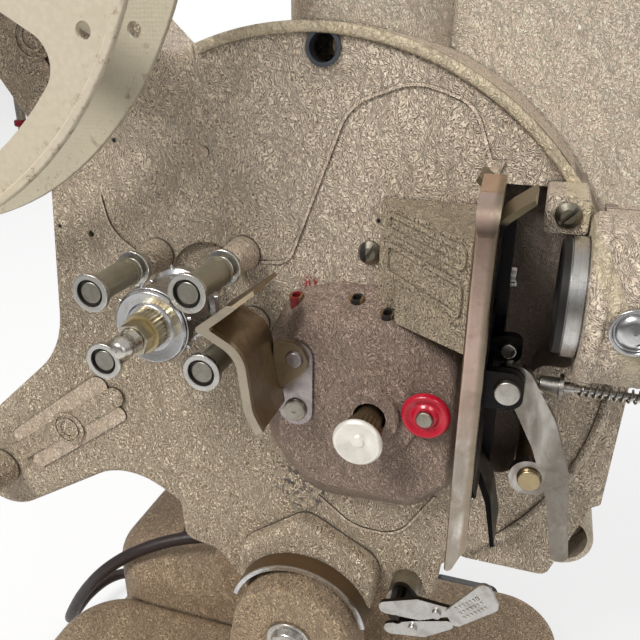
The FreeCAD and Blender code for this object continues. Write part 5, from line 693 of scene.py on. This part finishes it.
barrel_metal = metal(
    "barrel_metal", (0.58, 0.575, 0.56), TARNISH, 0.24, 0.3, rings=(LENS_AXIS, (0, 1, 1)), zones=(
        (barrel_thread, INK, 0.45, 0.2),
        (barrel_mouth, INK, 0.55, 0.1)))
guard_metal = metal("guard_metal", (0.70, 0.71, 0.73), (0.35, 0.31, 0.26), 0.15, 0.25, zones=(
    (guard_inside, (0.125, 0.076, 0.037), 0.4, 0.5),))
button_metal = metal("button_metal", (0.62, 0.60, 0.56), TARNISH, 0.25, 0.3, zones=(
    (button_collar, (0.33, 0.012, 0.035), 0.3, 0.0),))
still_metal = metal("still_metal", (0.56, 0.55, 0.53), (0.28, 0.24, 0.19), 0.26, 0.4, zones=(
    (tab_bend, (0.045, 0.040, 0.034), 0.35, 1.0),))
screw_metal = metal("screw_metal", (0.31, 0.285, 0.225), (0.12, 0.095, 0.06), 0.36, 0.5, zones=(
    (bush_brass, (0.42, 0.31, 0.17), 0.34, 1.0),
    (bush_bore(0), (0.20, 0.010, 0.016), 0.45, 0.0),
    # Painted shade: two of the bores are filled in black for the shade inside them
    (bush_bore(1), INK, 0.6, 0.0),
    (bush_bore(2), INK, 0.6, 0.0),
    (top_bush, (0.150, 0.165, 0.190), 0.35, 0.8)))
pin_metal = metal("pin_metal", (0.40, 0.375, 0.32), (0.17, 0.13, 0.08), 0.34, 0.5, zones=(
    (brass_pin, (0.47, 0.37, 0.22), 0.32, 1.0),))
stud_metal = metal("stud_metal", (0.36, 0.345, 0.30), (0.18, 0.15, 0.10), 0.36, 0.5)
glass = clear_glass()
silvered = metal("silvered_glass", (0.85, 0.86, 0.88), (0.6, 0.6, 0.6), 0.04, 0.1)
raspberry = moulded("raspberry_red", (0.50, 0.004, 0.026), 0.22, 0.04, 0.3)
black = moulded("black_moulding", (0.020, 0.019, 0.018), 0.35)
rubber = black_rubber("old_rubber", (0.030, 0.026, 0.022))
lead_rubber = black_rubber("lead_rubber", (0.020, 0.011, 0.010), 0.42, 0.5)

DRESS = {
    taupe: ("main_casting", "back_plate", "lens_tube"),
    lamp_taupe: ("rear_housing", "lamp_house", "lamp_cap"),
    wedge_taupe: ("light_housing",),
    cover_taupe: ("mechanism_cover",),
    base_taupe: ("base_casting",),
    reel_enamel(): ("reel_flanges", "reel_hub"),
    guard_metal: ("pivot_guard",),
    blued: ("bottom_plate", "motor_case"),
    black: ("speed_dial", "power_inlet", "focus_knob"),
    rubber: ("rubber_feet", "takeup_belt"),
    lead_rubber: ("supply_lead",),
    screw_metal: ("screws_and_bushes",),
    pin_metal: ("pivot_pins",),
    glass: ("lamp_bulb", "condenser_lenses", "lens_glass"),
    silvered: ("mirror",),
    raspberry: ("red_roller",),
    button_metal: ("arm_button",),
    knob_metal: ("inching_knob",),
    bronze: ("main_shaft", "takeup_spindle"),
    dull: ("film_claw", "idler_gear", "shutter", "motor_rotor", "lamp_socket", "sprocket_shaft",
           "gate_spring", "focus_pinion"),
    sprocket_metal: ("sprocket",),
    nut_metal: ("sprocket_nut",),
    stud_metal: ("roller_studs",),
    shoe_metal: ("film_shoe",),
    link_metal: ("shoe_link",),
    polished: ("gate_bar",),
    plate_chrome: ("gate_plate",),
    black_slide: ("gate_carriage",),
    lever_steel: ("gate_lever",),
    nickel: ("gate_rod", "pivot_bolt", "supply_spindle"),
    chrome: ("lens_clamp", "lamp_switch", "motor_switch"),
    barrel_metal: ("lens_barrel",),
    still_metal: ("still_lever",),
}
for corner, place in ROLLERS.items():
    DRESS[roller_metal("roller_" + corner, *place)] = ("film_roller_" + corner,)


def dress(piece, material):
    """Give a piece one material in place of what it has."""
    piece.data.materials.clear()
    piece.data.materials.append(material)


for material, names in DRESS.items():
    for name in names:
        dress(nodes[name], material)
dress(lead, lead_rubber)
dress(spring, nickel)

# Raised plain ticks on the still lever's tab
TAB_CENTRE = (76.7, -15.6, -74.9)
TAB_ALONG = Vector((0.716, 0, 0.698))
TAB_ACROSS = Vector((-0.698, 0, 0.716))
TICK_ROWS = (-1.7, 0.0, 1.7)
TICK_STEP = 1.15
TICK_WIDTH = 0.62
TICK_LENGTH = 0.95
TICK_HEIGHT = 0.36
TICK_BEVEL = 0.12
shape = bmesh.new()
for row in TICK_ROWS:
    for step in range(-3, 4):
        made = bmesh.ops.create_cube(shape, size=1.0)["verts"]
        for corner in made:
            local = corner.co.copy()
            along = TAB_ALONG * (step * TICK_STEP + local.x * TICK_WIDTH)
            across = TAB_ACROSS * (row + local.y * TICK_LENGTH)
            lift = Vector((0, local.z * TICK_HEIGHT, 0))
            corner.co = at(*(Vector(TAB_CENTRE) + along + across + lift))
bmesh.ops.bevel(shape, geom=shape.edges[:], offset=TICK_BEVEL / 1000, segments=2, affect="EDGES")
tick_mesh = bpy.data.meshes.new("tab_ticks")
shape.to_mesh(tick_mesh)
shape.free()
ticks = bpy.data.objects.new("tab_ticks", tick_mesh)
scene.collection.objects.link(ticks)
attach(ticks, "still")
dress(ticks, nickel)

# Floor, backdrop and light
FLOOR_WHITE = (0.86, 0.86, 0.86)
FLOOR_FAR = (0.18, 0.175, 0.17)
FLOOR_GLOW = 0.62
FLOOR_REACH = 1500.0
floor_mesh = bpy.data.meshes.new("floor")
shape = bmesh.new()
bmesh.ops.create_grid(shape, x_segments=2, y_segments=2, size=4.0)
shape.to_mesh(floor_mesh)
shape.free()
floor = bpy.data.objects.new("floor", floor_mesh)
scene.collection.objects.link(floor)
# The eye sees a pale floor, and the object is lit by one that darkens with distance
g = Graph("pale_floor")
rays = g.node("ShaderNodeLightPath").outputs
seen = g.math("MAXIMUM", rays["Is Camera Ray"], rays["Is Transmission Ray"])
glow = g.node("ShaderNodeEmission", {"Color": (1, 1, 1, 1), "Strength": 1.0})
share = g.math("MULTIPLY", seen, FLOOR_GLOW)
mixer = g.node("ShaderNodeMixShader", links={0: share, 1: g.shader.outputs[0], 2: glow.outputs[0]})
g.tree.links.new(mixer.outputs[0], g.out.inputs["Surface"])
far = g.math("DIVIDE", g.away((0, 0, 0), (1, 1, 0)), FLOOR_REACH)
ground = g.ramp(far, [(0.12, FLOOR_WHITE), (0.50, FLOOR_FAR)])
ground = g.mix(rays["Is Camera Ray"], ground, FLOOR_WHITE)
dress(floor, g.set(Base_Color=ground, Roughness=0.9))

SKY_STRENGTH = 0.54
SKY_LOW = (0.26, 0.245, 0.23)
world = bpy.data.worlds.new("studio")
world.use_nodes = True
scene.world = world
tree = world.node_tree
tree.nodes.clear()
sky = tree.nodes.new("ShaderNodeBackground")
white = tree.nodes.new("ShaderNodeBackground")
white.inputs["Color"].default_value = (1, 1, 1, 1)
sky.inputs["Strength"].default_value = SKY_STRENGTH
height = tree.nodes.new("ShaderNodeSeparateXYZ")
tree.links.new(tree.nodes.new("ShaderNodeTexCoord").outputs["Generated"], height.inputs[0])
shade = tree.nodes.new("ShaderNodeValToRGB")
shade.color_ramp.elements[0].position = 0.0
shade.color_ramp.elements[0].color = (*SKY_LOW, 1)
shade.color_ramp.elements[1].position = 0.55
shade.color_ramp.elements[1].color = (1, 1, 1, 1)
tree.links.new(height.outputs["Z"], shade.inputs["Fac"])
tree.links.new(shade.outputs["Color"], sky.inputs["Color"])
pick = tree.nodes.new("ShaderNodeMixShader")
tree.links.new(tree.nodes.new("ShaderNodeLightPath").outputs["Is Camera Ray"], pick.inputs[0])
tree.links.new(sky.outputs[0], pick.inputs[1])
tree.links.new(white.outputs[0], pick.inputs[2])
tree.links.new(pick.outputs[0], tree.nodes.new("ShaderNodeOutputWorld").inputs["Surface"])


def lamp(name, place, aim, size, power, colour=(1, 1, 1)):
    """A soft round lamp at a place, turned towards a point."""
    data = bpy.data.lights.new(name, "AREA")
    data.shape = "DISK"
    data.size = size
    data.energy = power
    data.color = colour
    made = bpy.data.objects.new(name, data)
    scene.collection.objects.link(made)
    made.location = place
    made.rotation_mode = "QUATERNION"
    made.rotation_quaternion = (Vector(aim) - Vector(place)).to_track_quat("-Z", "Y")


MIDDLE = (0.03, 0.0, 0.18)
lamp("key", (-0.50, -0.95, 1.25), MIDDLE, 0.55, 18.0, (1.0, 0.985, 0.96))
lamp("fill", (1.1, -0.9, 0.5), MIDDLE, 1.0, 3.6)
lamp("rim", (0.3, 1.1, 1.0), MIDDLE, 0.8, 6.0)
